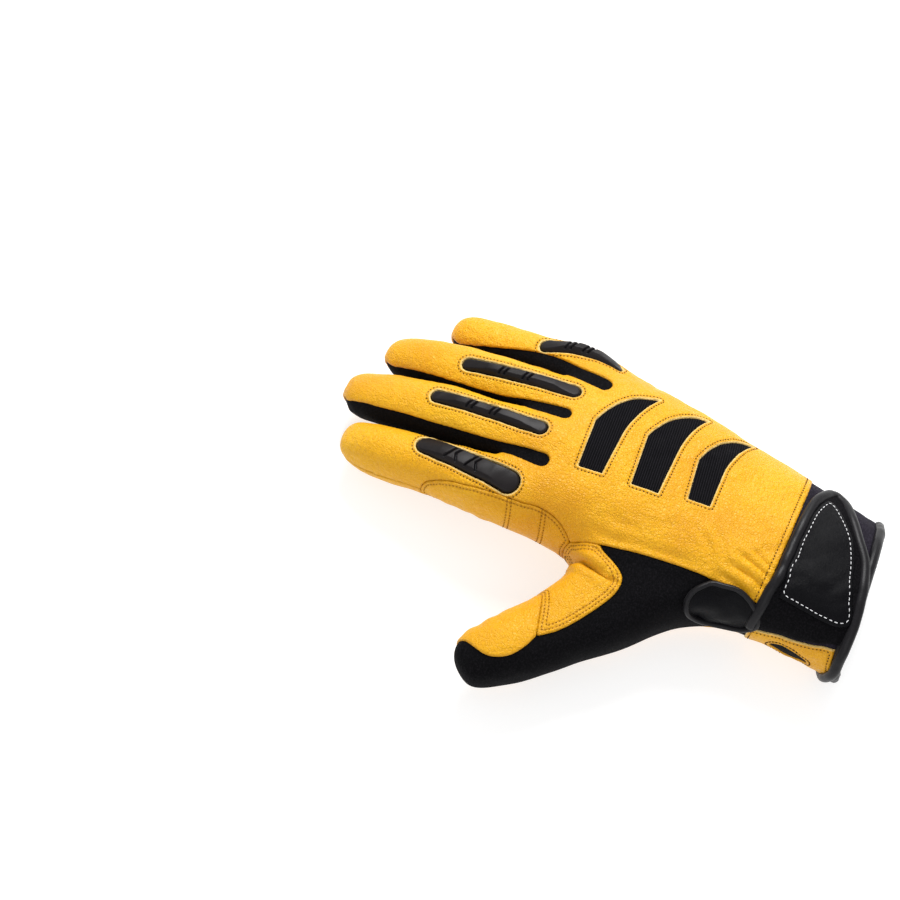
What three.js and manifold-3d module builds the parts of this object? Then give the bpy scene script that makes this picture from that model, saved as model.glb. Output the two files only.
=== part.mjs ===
// A climbing glove for the right hand, lying on its palm.
// Millimetres. +Y runs to the fingertips, +X to the little finger, +Z up through the back of the hand.
// The origin is the middle of the palm's underside, where the glove rests.
import * as THREE from 'three';
import { mergeVertices } from 'three/addons/utils/BufferGeometryUtils.js';
import Module from 'manifold-3d';

const wasm = await Module();
wasm.setup();

// Driving dimensions
const PALM_WIDTH = 88;
const PALM_LENGTH = 100;
const PALM_HEIGHT = 45;
const INDEX_LENGTH = 71;
const MIDDLE_LENGTH = 76;
const RING_LENGTH = 71;
const PINKY_LENGTH = 63;
const FINGER_WIDTH = 24;
const FINGER_HEIGHT = 24;
const THUMB_LENGTH = 82;
const THUMB_WIDTH = 30;
const THUMB_HEIGHT = 28;
const LEATHER = 1.5;
const FIT_GAP = 0.3;
const SLOT_WIDTH = 6.6;
const VENT_WIDTH = 10;
const PAD_WIDTH = 9.6;
const PAD_LENGTH = 48;
const PAD_HEIGHT = 2.6;
const BINDING_WIDTH = 3.6;
const BINDING_HEIGHT = 3.3;
const STRAP_THICKNESS = 2;
const PATCH_THICKNESS = 0.9;
const TAB_LENGTH = 28;
const TAB_WIDTH = 20;
const CUFF_RIM = 4;
const CUFF_RIM_THICKNESS = 2.8;

// Curve steps
const STEPS = { back: 10, web: 9, thumb: 6, side: 8, palm: 7, strapFront: 7, strapRear: 9, ventOuter: 5,
  ventInner: 4, slotEnd: 4, hole: 12, tab: 16 };

// How full the cage stands outside the surface that it rounds to
const CAGE_WIDTH_FULLNESS = 1.06;
const CAGE_HEIGHT_FULLNESS = 1.1;
const CAGE_CORNER = 0.78;
const CAGE_CORNER_REACH = 0.82;
const LEAST_DEPTH_SHARE = 0.6;
const SHARPEST_CORNER = 0.5;

// Palm sections from the cuff to the knuckles. y is a share of PALM_LENGTH, x of PALM_WIDTH
// and z of PALM_HEIGHT. top and bottom hold the heights at the thumb side, middle and outer side.
const PALM_ROWS = [
  { y: -1.04, thumbX: -0.49, outerX: 0.29, top: [0.84, 0.98, 0.7], bottom: [0.13, 0.07, 0.18] },
  { y: -0.86, thumbX: -0.48, outerX: 0.3, top: [0.84, 0.98, 0.69], bottom: [0.13, 0.04, 0.16] },
  { y: -0.66, thumbX: -0.47, outerX: 0.34, top: [0.84, 0.95, 0.69], bottom: [0.08, -0.01, 0.1] },
  { y: -0.46, thumbX: -0.48, outerX: 0.385, top: [0.87, 0.95, 0.69], bottom: [0, -0.06, 0.02] },
  { y: -0.2, thumbX: -0.51, outerX: 0.43, top: [0.89, 0.98, 0.71], bottom: [-0.02, -0.07, -0.01] },
  { y: 0.06, thumbX: -0.495, outerX: 0.465, top: [0.91, 1, 0.73], bottom: [-0.02, -0.06, -0.01] },
  { y: 0.27, thumbX: -0.51, outerX: 0.49, top: [0.91, 1.01, 0.73], bottom: [0.04, 0.02, 0.04] },
];
// Places of the nine points across the back of a palm section, and the drop at its two shoulders
const SHOULDERS = [0.05, 0.165, 0.28, 0.39, 0.5, 0.61, 0.72, 0.835, 0.95];
const SHOULDER_DROP = 0.08;
const SIDE_BULGE = 0.028;
const CUFF_SLANT = 0.05;

// Fingers. root is a share of the palm's width, length and height. middle and tip are measured
// from the root as shares of the finger's own length. The widths and heights are half sizes at
// root, middle and tip, as shares of FINGER_WIDTH and FINGER_HEIGHT.
const FINGERS = [
  { name: 'index', length: INDEX_LENGTH, root: [-0.408, 0.46, 0.645], middle: [0, 0.535, -0.113],
    tip: [0.01, 1, -0.26], widths: [0.485, 0.465, 0.415], heights: [0.5, 0.45, 0.375] },
  { name: 'middle', length: MIDDLE_LENGTH, root: [-0.134, 0.5, 0.69], middle: [-0.01, 0.53, -0.118],
    tip: [-0.026, 1, -0.27], widths: [0.49, 0.475, 0.425], heights: [0.51, 0.46, 0.385] },
  { name: 'ring', length: RING_LENGTH, root: [0.127, 0.47, 0.655], middle: [-0.004, 0.55, -0.127],
    tip: [-0.013, 1, -0.285], widths: [0.47, 0.45, 0.4], heights: [0.485, 0.435, 0.365] },
  { name: 'pinky', length: PINKY_LENGTH, root: [0.362, 0.36, 0.555], middle: [0.02, 0.49, -0.13],
    tip: [0.035, 1, -0.26], widths: [0.433, 0.408, 0.367], heights: [0.44, 0.39, 0.333] },
];
const FINGER_SECTIONS = [
  { along: 0.2, size: 1 },
  { along: 0.5, size: 1 },
  { along: 0.8, size: 0.98 },
  { along: 0.955, size: 0.72 },
];
// Length shares of the nine points where the palm ends in the finger roots
const CROTCH_LINE = [0.46, 0.5, 0.49, 0.495, 0.485, 0.45, 0.4, 0.37, 0.34];
const CROTCH_FILL = 0.72;
const CROTCH_TUCK = 0.9;

// The thumb's centre line, from the palm's origin as shares of its length, with half sizes as
// shares of THUMB_WIDTH and THUMB_HEIGHT
const THUMB_POINTS = [
  { x: -0.537, y: -0.244, z: 0.256, width: 0.7, height: 0.643 },
  { x: -0.805, y: -0.073, z: 0.244, width: 0.5, height: 0.5 },
  { x: -1.073, y: 0.152, z: 0.244, width: 0.433, height: 0.43 },
  { x: -1.317, y: 0.378, z: 0.22, width: 0.383, height: 0.357 },
];
const THUMB_SECTIONS = [
  { along: 0.34, size: 1 },
  { along: 0.64, size: 1 },
  { along: 0.87, size: 0.97 },
  { along: 0.97, size: 0.7 },
];
const THUMB_ROW = 3;

// Seams in plan, as shares of PALM_WIDTH and PALM_LENGTH
const BACK_SEAM = [[-0.488, 0.115], [-0.478, 0], [-0.453, -0.13], [-0.433, -0.25], [-0.418, -0.36],
  [-0.411, -0.49], [-0.42, -0.655]];
const WEB_SEAM = [[-0.478, 0], [-0.497, -0.02], [-0.544, -0.1], [-0.595, -0.137], [-0.68, -0.125],
  [-0.8, -0.067], [-0.907, 0], [-0.98, 0.072]];
const THUMB_SEAM = [[-0.98, 0.072], [-1.035, 0.09], [-1.095, 0.124], [-1.132, 0.17], [-1.144, 0.225],
  [-1.115, 0.31]];
const SIDE_SEAM = [[-0.56, 0.775], [-0.512, 0.755], [-0.49, 0.667], [-0.475, 0.51], [-0.456, 0.37],
  [-0.438, 0.285], [-0.443, 0.21], [-0.463, 0.155], [-0.488, 0.115]];
const PALM_SEAM = [[-0.488, 0.115], [-0.4, 0.06], [-0.3, -0.03], [-0.22, -0.16], [-0.19, -0.32],
  [-0.21, -0.48], [-0.27, -0.655]];
const WEB_CORNER = [-0.57, 0.2];
const SIDE_CORNER = [-0.68, 0.25];
const THUMB_CREASE = [-0.775, 0.12];
const WRIST_LINE = -0.655;
const STRAP_REACH = 0.08;
const GUSSET_LINE = [[-0.655, 0.55], [-0.76, 0.61], [-0.86, 0.67], [-1.1, 0.8]];
const GUSSET_INNER_EDGE = -0.33;
const GUSSET_HOLE = { y: -0.83, z: 0.33, length: 0.13, height: 0.14 };

// Slots between the fingers, where the soft sides show: the length share where each one starts, and
// how far that end stands off the middle between its two fingers, as a share of PALM_WIDTH
const SLOT_ENDS = [0.32, 0.326, 0.237];
const SLOT_END_SHIFT = [0.02, 0, -0.035];
const SLOT_STATIONS = 4;

// Vents: three bent ribbed inserts. end, elbow and tip are plan shares of the outer edge, and width
// is a share of VENT_WIDTH. Each vent is VENT_FLARE times as wide at its elbow.
const VENTS = [
  { end: [-0.211, 0.209], elbow: [0.043, 0.228], tip: [0.308, 0.037], width: 0.98 },
  { end: [-0.187, -0.01], elbow: [0.086, 0.014], tip: [0.338, -0.175], width: 1.1 },
  { end: [-0.133, -0.235], elbow: [0.083, -0.209], tip: [0.32, -0.372], width: 0.88 },
];
const VENT_FLARE = 1.22;
const VENT_BULGE = 0.09;
const VENT_INNER_BULGE = 0.03;
const VENT_ELBOW_SHIFT = -0.06;
const PAD_TAPER = 0.86;
const PAD_END_STEPS = 3;
const PAD_REACH = 21;

// Knuckle pads: plan shares of the end nearer the wrist, the lean of each pad in degrees (positive
// towards the thumb) and its length and width as shares of PAD_LENGTH and PAD_WIDTH
const PADS = [
  { finger: 'index', start: [-0.404, 0.388], lean: -5, length: 0.95, width: 1 },
  { finger: 'middle', start: [-0.105, 0.384], lean: 1.5, length: 1.04, width: 0.66 },
  { finger: 'ring', start: [0.158, 0.335], lean: 4.5, length: 1.05, width: 0.66 },
  { finger: 'pinky', start: [0.418, 0.235], lean: -3, length: 0.74, width: 0.66 },
];

// Closure strap outline in plan and its patch, as shares of PALM_WIDTH and PALM_LENGTH
const STRAP_FRONT = [[-0.62, -0.645], [-0.38, -0.672], [-0.29, -0.687], [-0.18, -0.68], [-0.06, -0.671],
  [0.08, -0.678], [0.17, -0.69], [0.25, -0.72]];
const STRAP_TIP = [[0.275, -0.76], [0.23, -0.82]];
const STRAP_REAR = [[0.13, -0.875], [0.04, -0.92], [-0.04, -0.965], [-0.12, -0.99], [-0.25, -1.015],
  [-0.38, -1.03], [-0.62, -1.045]];
const STRAP_PATCH = [[-0.37, -0.735], [-0.28, -0.73], [-0.18, -0.722], [-0.06, -0.718], [0.06, -0.727],
  [0.14, -0.755], [0.13, -0.79], [0.06, -0.845], [-0.03, -0.893], [-0.12, -0.925], [-0.24, -0.955],
  [-0.37, -0.975]];
const TAB_CENTRE = { y: -0.5, z: 0.63, turn: 0.25 };
const TAB_BINDING_SHARE = 0.6;

const COLOURS = {
  leather: { color: 0xf2b02a, roughness: 0.55, metalness: 0 },
  stretch: { color: 0x1b1a1f, roughness: 0.9, metalness: 0 },
  rubber: { color: 0x46414a, roughness: 0.6, metalness: 0 },
  ribbed: { color: 0x151418, roughness: 0.95, metalness: 0 },
  piping: { color: 0x2f2b34, roughness: 0.5, metalness: 0 },
};

// Small maths

function quadratic(first, middle, last, t) {
  return (1 - t) * (1 - 2 * t) * first + 4 * t * (1 - t) * middle + t * (2 * t - 1) * last;
}

function planPoint([x, y]) {
  return new THREE.Vector2(x * PALM_WIDTH, y * PALM_LENGTH);
}

function sectionFrame(direction) {
  const along = direction.clone().normalize();
  const side = along.clone().cross(new THREE.Vector3(0, 0, 1)).normalize();
  const up = side.clone().cross(along);
  return { side, up };
}

// The cage: a coarse quad mesh of the hand that rounds to the glove's surface.
// Each face is kept with the side of the hand that it lies on.

const points = [];
const faces = [];

function addPoint(x, y, z) {
  points.push(new THREE.Vector3(x, y, z));
  return points.length - 1;
}

function addFace(corners, upper, area) {
  faces.push({ corners, upper, area });
}

function palmRow(row) {
  const left = row.thumbX * PALM_WIDTH;
  const right = row.outerX * PALM_WIDTH;
  const centre = (left + right) / 2;
  const alongAt = (x) => row.y * PALM_LENGTH + CUFF_SLANT * (x - centre) * Math.max(0, -row.y);
  const top = [];
  const bottom = [];
  SHOULDERS.forEach((share, k) => {
    const x = left + (right - left) * share;
    const drop = k === 0 || k === SHOULDERS.length - 1 ? SHOULDER_DROP : 0;
    top.push(addPoint(x, alongAt(x), (quadratic(...row.top, share) - drop) * PALM_HEIGHT));
    bottom.push(addPoint(x, alongAt(x), (quadratic(...row.bottom, share) + drop) * PALM_HEIGHT));
  });
  const bulge = SIDE_BULGE * PALM_WIDTH;
  const thumbSide = addPoint(left - bulge, alongAt(left), (row.top[0] + row.bottom[0]) * PALM_HEIGHT / 2);
  const outerSide = addPoint(right + bulge, alongAt(right), (row.top[2] + row.bottom[2]) * PALM_HEIGHT / 2);
  return { top, bottom, thumbSide, outerSide };
}

function fingerRoot(finger) {
  const [x, y, z] = finger.root;
  return new THREE.Vector3(x * PALM_WIDTH, y * PALM_LENGTH, z * PALM_HEIGHT);
}

function fingerPoint(finger, offset) {
  const [x, y, z] = offset;
  return fingerRoot(finger).add(new THREE.Vector3(x, y, z).multiplyScalar(finger.length));
}

function fingerCurve(finger) {
  const root = fingerRoot(finger);
  const middle = fingerPoint(finger, finger.middle);
  const tip = fingerPoint(finger, finger.tip);
  const control = middle.multiplyScalar(2).sub(root.clone().add(tip).multiplyScalar(0.5));
  return new THREE.QuadraticBezierCurve3(root, control, tip);
}

function crotchRow() {
  const roots = FINGERS.map(fingerRoot);
  const halfWidths = FINGERS.map((finger) => finger.widths[0] * FINGER_WIDTH);
  const halfHeights = FINGERS.map((finger) => finger.heights[0] * FINGER_HEIGHT);
  const last = FINGERS.length - 1;
  const top = [];
  const bottom = [];
  const middles = [];
  CROTCH_LINE.forEach((share, k) => {
    const y = share * PALM_LENGTH;
    const own = Math.floor(k / 2);
    let x;
    let z;
    let half;
    if (k % 2 === 1) {
      x = roots[own].x;
      z = roots[own].z;
      half = halfHeights[own] * CAGE_HEIGHT_FULLNESS;
    } else if (k === 0 || own > last) {
      const end = k === 0 ? 0 : last;
      x = roots[end].x + (k === 0 ? -1 : 1) * halfWidths[end] * CAGE_CORNER_REACH;
      z = roots[end].z;
      half = halfHeights[end] * CAGE_CORNER * CAGE_HEIGHT_FULLNESS;
    } else {
      x = (roots[own - 1].x + halfWidths[own - 1] + roots[own].x - halfWidths[own]) / 2;
      z = (roots[own - 1].z + roots[own].z) / 2;
      half = (halfHeights[own - 1] + halfHeights[own]) / 2 * CROTCH_FILL;
      middles.push(addPoint(x, y - CROTCH_TUCK, z));
    }
    top.push(addPoint(x, y, z + half));
    bottom.push(addPoint(x, y, z - half));
  });
  const reach = (end, side) => roots[end].x + side * halfWidths[end] * CAGE_WIDTH_FULLNESS;
  const thumbSide = addPoint(reach(0, -1), CROTCH_LINE[0] * PALM_LENGTH, roots[0].z);
  const outerSide = addPoint(reach(last, 1), CROTCH_LINE[8] * PALM_LENGTH, roots[last].z);
  return { top, bottom, thumbSide, outerSide, middles: [thumbSide, ...middles, outerSide] };
}

// The eight points round a finger: across and up, from its top middle towards the outer side
const RING = [[0, 1], [1, 1], [1, 0], [1, -1], [0, -1], [-1, -1], [-1, 0], [-1, 1]];
const RING_UPPER = [true, true, false, false, false, false, true, true];

function tubeSection(centre, direction, halfWidth, halfHeight) {
  const { side, up } = sectionFrame(direction);
  return RING.map(([across, high]) => {
    const corner = across !== 0 && high !== 0 ? CAGE_CORNER : 1;
    const place = centre.clone()
      .addScaledVector(side, across * halfWidth * corner)
      .addScaledVector(up, high * halfHeight * corner);
    return addPoint(place.x, place.y, place.z);
  });
}

function addTube(start, sections, tip, area) {
  let previous = start;
  for (const section of sections) {
    for (let q = 0; q < 8; q += 1) {
      const next = (q + 1) % 8;
      addFace([previous[q], previous[next], section[next], section[q]], RING_UPPER[q], area);
    }
    previous = section;
  }
  for (let q = 0; q < 8; q += 2) {
    addFace([previous[q], previous[q + 1], previous[(q + 2) % 8], tip], RING_UPPER[q], area);
  }
}

function addFinger(finger, index, crotch) {
  const { top, bottom, middles } = crotch;
  const first = 2 * index;
  const start = [top[first + 1], top[first + 2], middles[index + 1], bottom[first + 2],
    bottom[first + 1], bottom[first], middles[index], top[first]];
  const curve = fingerCurve(finger);
  const sections = FINGER_SECTIONS.map(({ along, size }) => {
    const halfWidth = quadratic(...finger.widths, along) * FINGER_WIDTH * CAGE_WIDTH_FULLNESS * size;
    const halfHeight = quadratic(...finger.heights, along) * FINGER_HEIGHT * CAGE_HEIGHT_FULLNESS * size;
    return tubeSection(curve.getPoint(along), curve.getTangent(along), halfWidth, halfHeight);
  });
  const end = curve.getPoint(1);
  addTube(start, sections, addPoint(end.x, end.y, end.z), finger.name);
}

function thumbCentreLine() {
  const places = THUMB_POINTS.map(({ x, y, z }) => new THREE.Vector3(x, y, z).multiplyScalar(THUMB_LENGTH));
  return new THREE.CatmullRomCurve3(places, false, 'catmullrom');
}

function thumbSize(along, key) {
  const steps = THUMB_POINTS.length - 1;
  const low = Math.min(Math.floor(along * steps), steps - 1);
  return THREE.MathUtils.lerp(THUMB_POINTS[low][key], THUMB_POINTS[low + 1][key], along * steps - low);
}

function addThumb(rows) {
  const [rear, middle, front] = rows.slice(THUMB_ROW, THUMB_ROW + 3);
  const start = [middle.top[0], front.top[0], front.thumbSide, front.bottom[0],
    middle.bottom[0], rear.bottom[0], rear.thumbSide, rear.top[0]];
  const line = thumbCentreLine();
  const sections = THUMB_SECTIONS.map(({ along, size }) => {
    const halfWidth = thumbSize(along, 'width') * THUMB_WIDTH * CAGE_HEIGHT_FULLNESS * size;
    const halfHeight = thumbSize(along, 'height') * THUMB_HEIGHT * CAGE_HEIGHT_FULLNESS * size;
    return tubeSection(line.getPoint(along), line.getTangent(along), halfWidth, halfHeight);
  });
  const end = line.getPoint(1);
  addTube(start, sections, addPoint(end.x, end.y, end.z), 'thumb');
}

function buildCage() {
  const rows = PALM_ROWS.map(palmRow);
  const crotch = crotchRow();
  rows.push(crotch);
  const rings = rows.map(({ top, bottom, thumbSide, outerSide }) => (
    [...top, outerSide, ...bottom.slice().reverse(), thumbSide]));
  const around = rings[0].length;
  for (let j = 0; j < rings.length - 1; j += 1) {
    for (let k = 0; k < around; k += 1) {
      const thumbHole = (j === THUMB_ROW || j === THUMB_ROW + 1) && k >= around - 2;
      if (!thumbHole) {
        const next = (k + 1) % around;
        const upper = k < 9 || k === around - 1;
        addFace([rings[j][k], rings[j][next], rings[j + 1][next], rings[j + 1][k]], upper, 'palm');
      }
    }
  }
  FINGERS.forEach((finger, index) => addFinger(finger, index, crotch));
  addThumb(rows);
}

// Rounding: one Catmull-Clark step, and then each point moves to its place on the limit surface

function edgeKey(a, b) {
  return a < b ? `${a},${b}` : `${b},${a}`;
}

function refine(oldPoints, oldFaces) {
  const newPoints = [];
  const facePoints = oldFaces.map(({ corners }) => {
    const centre = new THREE.Vector3();
    corners.forEach((corner) => centre.addScaledVector(oldPoints[corner], 0.25));
    return centre;
  });
  const edges = new Map();
  oldFaces.forEach(({ corners }, f) => {
    corners.forEach((corner, k) => {
      const other = corners[(k + 1) % 4];
      const key = edgeKey(corner, other);
      if (!edges.has(key)) edges.set(key, { ends: [corner, other], faces: [] });
      edges.get(key).faces.push(f);
    });
  });
  const near = oldPoints.map(() => ({ faces: new THREE.Vector3(), middles: new THREE.Vector3(),
    rim: new THREE.Vector3(), faceCount: 0, edgeCount: 0, rimCount: 0 }));
  oldFaces.forEach(({ corners }, f) => {
    corners.forEach((corner) => {
      near[corner].faces.add(facePoints[f]);
      near[corner].faceCount += 1;
    });
  });
  for (const edge of edges.values()) {
    const [a, b] = edge.ends;
    const middle = oldPoints[a].clone().add(oldPoints[b]).multiplyScalar(0.5);
    const onRim = edge.faces.length === 1;
    for (const end of edge.ends) {
      near[end].middles.add(middle);
      near[end].edgeCount += 1;
      if (onRim) {
        near[end].rim.add(middle);
        near[end].rimCount += 1;
      }
    }
    edge.point = onRim ? middle : middle.clone().multiplyScalar(2)
      .add(facePoints[edge.faces[0]]).add(facePoints[edge.faces[1]]).multiplyScalar(0.25);
  }
  const cornerIndex = new Map();
  oldPoints.forEach((point, i) => {
    const around = near[i];
    if (around.faceCount === 0) return;
    const count = around.edgeCount;
    const moved = around.rimCount > 0
      ? around.rim.clone().multiplyScalar(0.5).add(point).multiplyScalar(0.5)
      : around.faces.clone().multiplyScalar(1 / around.faceCount)
        .addScaledVector(around.middles, 2 / count).addScaledVector(point, count - 3)
        .multiplyScalar(1 / count);
    cornerIndex.set(i, newPoints.length);
    newPoints.push(moved);
  });
  for (const edge of edges.values()) {
    edge.index = newPoints.length;
    newPoints.push(edge.point);
  }
  const newFaces = [];
  const patches = [];
  oldFaces.forEach(({ corners, upper, area }, f) => {
    const centre = newPoints.length;
    newPoints.push(facePoints[f]);
    const ends = corners.map((corner) => cornerIndex.get(corner));
    const middles = corners.map((corner, k) => edges.get(edgeKey(corner, corners[(k + 1) % 4])).index);
    patches.push({ corners: ends, middles, centre, upper, area });
    ends.forEach((end, k) => newFaces.push({ corners: [end, middles[k], centre, middles[(k + 3) % 4]] }));
  });
  return { points: newPoints, faces: newFaces, patches };
}

function pushToLimit(mesh) {
  const sums = mesh.points.map(() => ({ edge: new THREE.Vector3(), face: new THREE.Vector3(),
    rim: new THREE.Vector3(), faceCount: 0, rimCount: 0 }));
  const seen = new Map();
  for (const { corners } of mesh.faces) {
    corners.forEach((corner, k) => {
      const after = corners[(k + 1) % 4];
      const across = corners[(k + 2) % 4];
      sums[corner].face.add(mesh.points[across]);
      sums[corner].faceCount += 1;
      const key = edgeKey(corner, after);
      const times = (seen.get(key)?.times ?? 0) + 1;
      seen.set(key, { times, ends: [corner, after] });
      if (times === 1) {
        sums[corner].edge.add(mesh.points[after]);
        sums[after].edge.add(mesh.points[corner]);
      }
    });
  }
  for (const { times, ends } of seen.values()) {
    if (times === 1) {
      const [a, b] = ends;
      sums[a].rim.add(mesh.points[b]);
      sums[b].rim.add(mesh.points[a]);
      sums[a].rimCount += 1;
      sums[b].rimCount += 1;
    }
  }
  return mesh.points.map((point, i) => {
    const { edge, face, rim, faceCount, rimCount } = sums[i];
    if (rimCount > 0) return point.clone().multiplyScalar(4).add(rim).multiplyScalar(1 / 6);
    const n = faceCount;
    return point.clone().multiplyScalar(n * n).addScaledVector(edge, 4).add(face)
      .multiplyScalar(1 / (n * (n + 5)));
  });
}

function pointNormals(places, quads) {
  const normals = places.map(() => new THREE.Vector3());
  for (const { corners } of quads) {
    const [a, b, c, d] = corners.map((corner) => places[corner]);
    const normal = c.clone().sub(a).cross(d.clone().sub(b));
    corners.forEach((corner) => normals[corner].add(normal));
  }
  return normals.map((normal) => normal.normalize());
}

// The surface, flattened where the glove rests
buildCage();
const skin = refine(points, faces);
skin.points = pushToLimit(skin).map((point) => {
  point.z = Math.max(point.z, 0);
  return point;
});
skin.normals = pointNormals(skin.points, skin.faces);

// Solids

function toSolid(positions, triangles) {
  const mesh = new wasm.Mesh({
    numProp: 3,
    vertProperties: new Float32Array(positions),
    triVerts: new Uint32Array(triangles),
  });
  return new wasm.Manifold(mesh);
}

function geometryToSolid(geometry) {
  geometry.deleteAttribute('normal');
  geometry.deleteAttribute('uv');
  const merged = mergeVertices(geometry, 1e-4);
  return toSolid(merged.attributes.position.array, merged.index.array);
}

function solidToGeometry(solid) {
  const mesh = solid.getMesh();
  const geometry = new THREE.BufferGeometry();
  geometry.setAttribute('position', new THREE.BufferAttribute(mesh.vertProperties.slice(), 3));
  geometry.setIndex(new THREE.BufferAttribute(mesh.triVerts.slice(), 1));
  geometry.computeVertexNormals();
  return geometry;
}

// True where a patch's plain inner side would come too near the skin, as in a hollow between fingers
function needsFineInside(patch, places, normals, low) {
  const sunk = (i) => places[i].clone().addScaledVector(normals[i], low);
  const depthAt = (i, others) => {
    const inner = new THREE.Vector3();
    others.forEach((other) => inner.addScaledVector(sunk(other), 1 / others.length));
    return places[i].clone().sub(inner).dot(normals[i]);
  };
  const { corners, middles, centre } = patch;
  const depths = middles.map((middle, k) => depthAt(middle, [corners[k], corners[(k + 1) % 4]]));
  depths.push(depthAt(centre, corners));
  return Math.min(...depths) < -low * LEAST_DEPTH_SHARE;
}

// A wall that follows some of the skin's patches, between two heights above the skin. Its edge is
// drawn back along the skin by the inset. A plain inner side skips the points between corners.
function wall(chosen, low, high, { inset = 0, plainInside = false } = {}) {
  const places = skin.points.map((point) => point.clone());
  const { normals } = skin;
  const uses = new Map();
  chosen.forEach(({ middles }) => middles.forEach((middle) => {
    uses.set(middle, (uses.get(middle) ?? 0) + 1);
  }));
  const pulls = new Map();
  for (const { corners, middles } of chosen) {
    middles.forEach((middle, k) => {
      if (uses.get(middle) > 1) return;
      const start = corners[k];
      const end = corners[(k + 1) % 4];
      const inward = normals[middle].clone().cross(places[end].clone().sub(places[start])).normalize();
      for (const point of [start, middle, end]) {
        if (!pulls.has(point)) pulls.set(point, new THREE.Vector3());
        pulls.get(point).add(inward);
      }
    });
  }
  for (const [point, pull] of pulls) places[point].addScaledVector(pull.normalize(), inset);

  const positions = [];
  const triangles = [];
  const numbers = new Map();
  const number = (point, height) => {
    const key = `${point},${height}`;
    if (!numbers.has(key)) {
      numbers.set(key, positions.length / 3);
      const { x, y, z } = places[point].clone().addScaledVector(normals[point], height);
      positions.push(x, y, z);
    }
    return numbers.get(key);
  };
  const addQuad = ([a, b, c, d], height, outward) => {
    const shorter = places[a].distanceTo(places[c]) <= places[b].distanceTo(places[d]);
    const pair = shorter ? [[a, b, c], [a, c, d]] : [[a, b, d], [b, c, d]];
    for (const trio of pair) {
      const ordered = outward ? trio : trio.reverse();
      triangles.push(...ordered.map((point) => number(point, height)));
    }
  };
  const addQuarters = ({ corners, middles, centre }, height, outward) => {
    corners.forEach((corner, k) => {
      addQuad([corner, middles[k], centre, middles[(k + 3) % 4]], height, outward);
    });
  };

  const fine = new Set(chosen.filter((patch) => (
    !plainInside || needsFineInside(patch, places, normals, low))));
  const split = new Set();
  fine.forEach((patch) => patch.middles.forEach((middle) => split.add(middle)));
  for (const patch of chosen) {
    const { corners, middles } = patch;
    addQuarters(patch, high, true);
    if (fine.has(patch)) {
      addQuarters(patch, low, false);
    } else if (middles.some((middle) => split.has(middle))) {
      const loop = corners.flatMap((corner, k) => (split.has(middles[k]) ? [corner, middles[k]] : [corner]));
      const apex = loop.findIndex((point) => middles.includes(point));
      for (let k = 1; k < loop.length - 1; k += 1) {
        const trio = [loop[apex], loop[(apex + k) % loop.length], loop[(apex + k + 1) % loop.length]];
        triangles.push(...trio.reverse().map((point) => number(point, low)));
      }
    } else {
      addQuad(corners, low, false);
    }
    middles.forEach((middle, k) => {
      if (uses.get(middle) > 1) return;
      const start = corners[k];
      const end = corners[(k + 1) % 4];
      const under = split.has(middle) ? [start, middle, end] : [start, end];
      const loop = [...under.map((point) => number(point, low)), number(end, high)];
      const apex = number(middle, high);
      let previous = number(start, high);
      for (const next of loop) {
        triangles.push(apex, previous, next);
        previous = next;
      }
    });
  }
  return toSolid(positions, triangles);
}

const FAR = 400;
const TALL = 200;

// An upright prism over a plan outline, through the whole height of the glove
function planPrism(outline) {
  const shape = new THREE.Shape(outline);
  const geometry = new THREE.ExtrudeGeometry(shape, { depth: TALL * 2, bevelEnabled: false });
  geometry.translate(0, 0, -TALL);
  return geometryToSolid(geometry);
}

// A prism over an outline in y and z, from one x to another
function sidePrism(outline, fromX, toX) {
  const shape = new THREE.Shape(outline);
  const geometry = new THREE.ExtrudeGeometry(shape, { depth: toX - fromX, bevelEnabled: false });
  const basis = new THREE.Matrix4().makeBasis(
    new THREE.Vector3(0, 1, 0), new THREE.Vector3(0, 0, 1), new THREE.Vector3(1, 0, 0));
  geometry.applyMatrix4(basis);
  geometry.translate(fromX, 0, 0);
  return geometryToSolid(geometry);
}

// Moves each point of an open line to its left by a distance
function shiftLine(line, distance) {
  return line.map((point, i) => {
    const before = line[Math.max(i - 1, 0)];
    const after = line[Math.min(i + 1, line.length - 1)];
    const along = after.clone().sub(before).normalize();
    return new THREE.Vector2(point.x - along.y * distance, point.y + along.x * distance);
  });
}

// Moves a closed outline inwards by a distance
function insetOutline(outline, distance) {
  const turned = THREE.ShapeUtils.isClockWise(outline) ? outline.slice().reverse() : outline;
  const count = turned.length;
  return turned.map((point, i) => {
    const before = point.clone().sub(turned[(i + count - 1) % count]).normalize();
    const after = turned[(i + 1) % count].clone().sub(point).normalize();
    const bisector = before.clone().add(after).normalize();
    const widen = 1 / Math.max(bisector.dot(before), SHARPEST_CORNER);
    const shift = distance * widen;
    return new THREE.Vector2(point.x - bisector.y * shift, point.y + bisector.x * shift);
  });
}

function smoothLine(shares, steps) {
  return new THREE.SplineCurve(shares.map(planPoint)).getPoints(steps);
}

// Region outlines

// Finger edge in plan at a given y, on the outer side (1) or the thumb side (-1)
function fingerEdge(finger, y, side) {
  const curve = fingerCurve(finger);
  const root = curve.getPoint(0);
  const tip = curve.getPoint(1);
  const along = THREE.MathUtils.clamp((y - root.y) / (tip.y - root.y), 0, 1);
  const halfWidth = quadratic(...finger.widths, along) * FINGER_WIDTH;
  return curve.getPoint(along).x + side * halfWidth;
}

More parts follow.
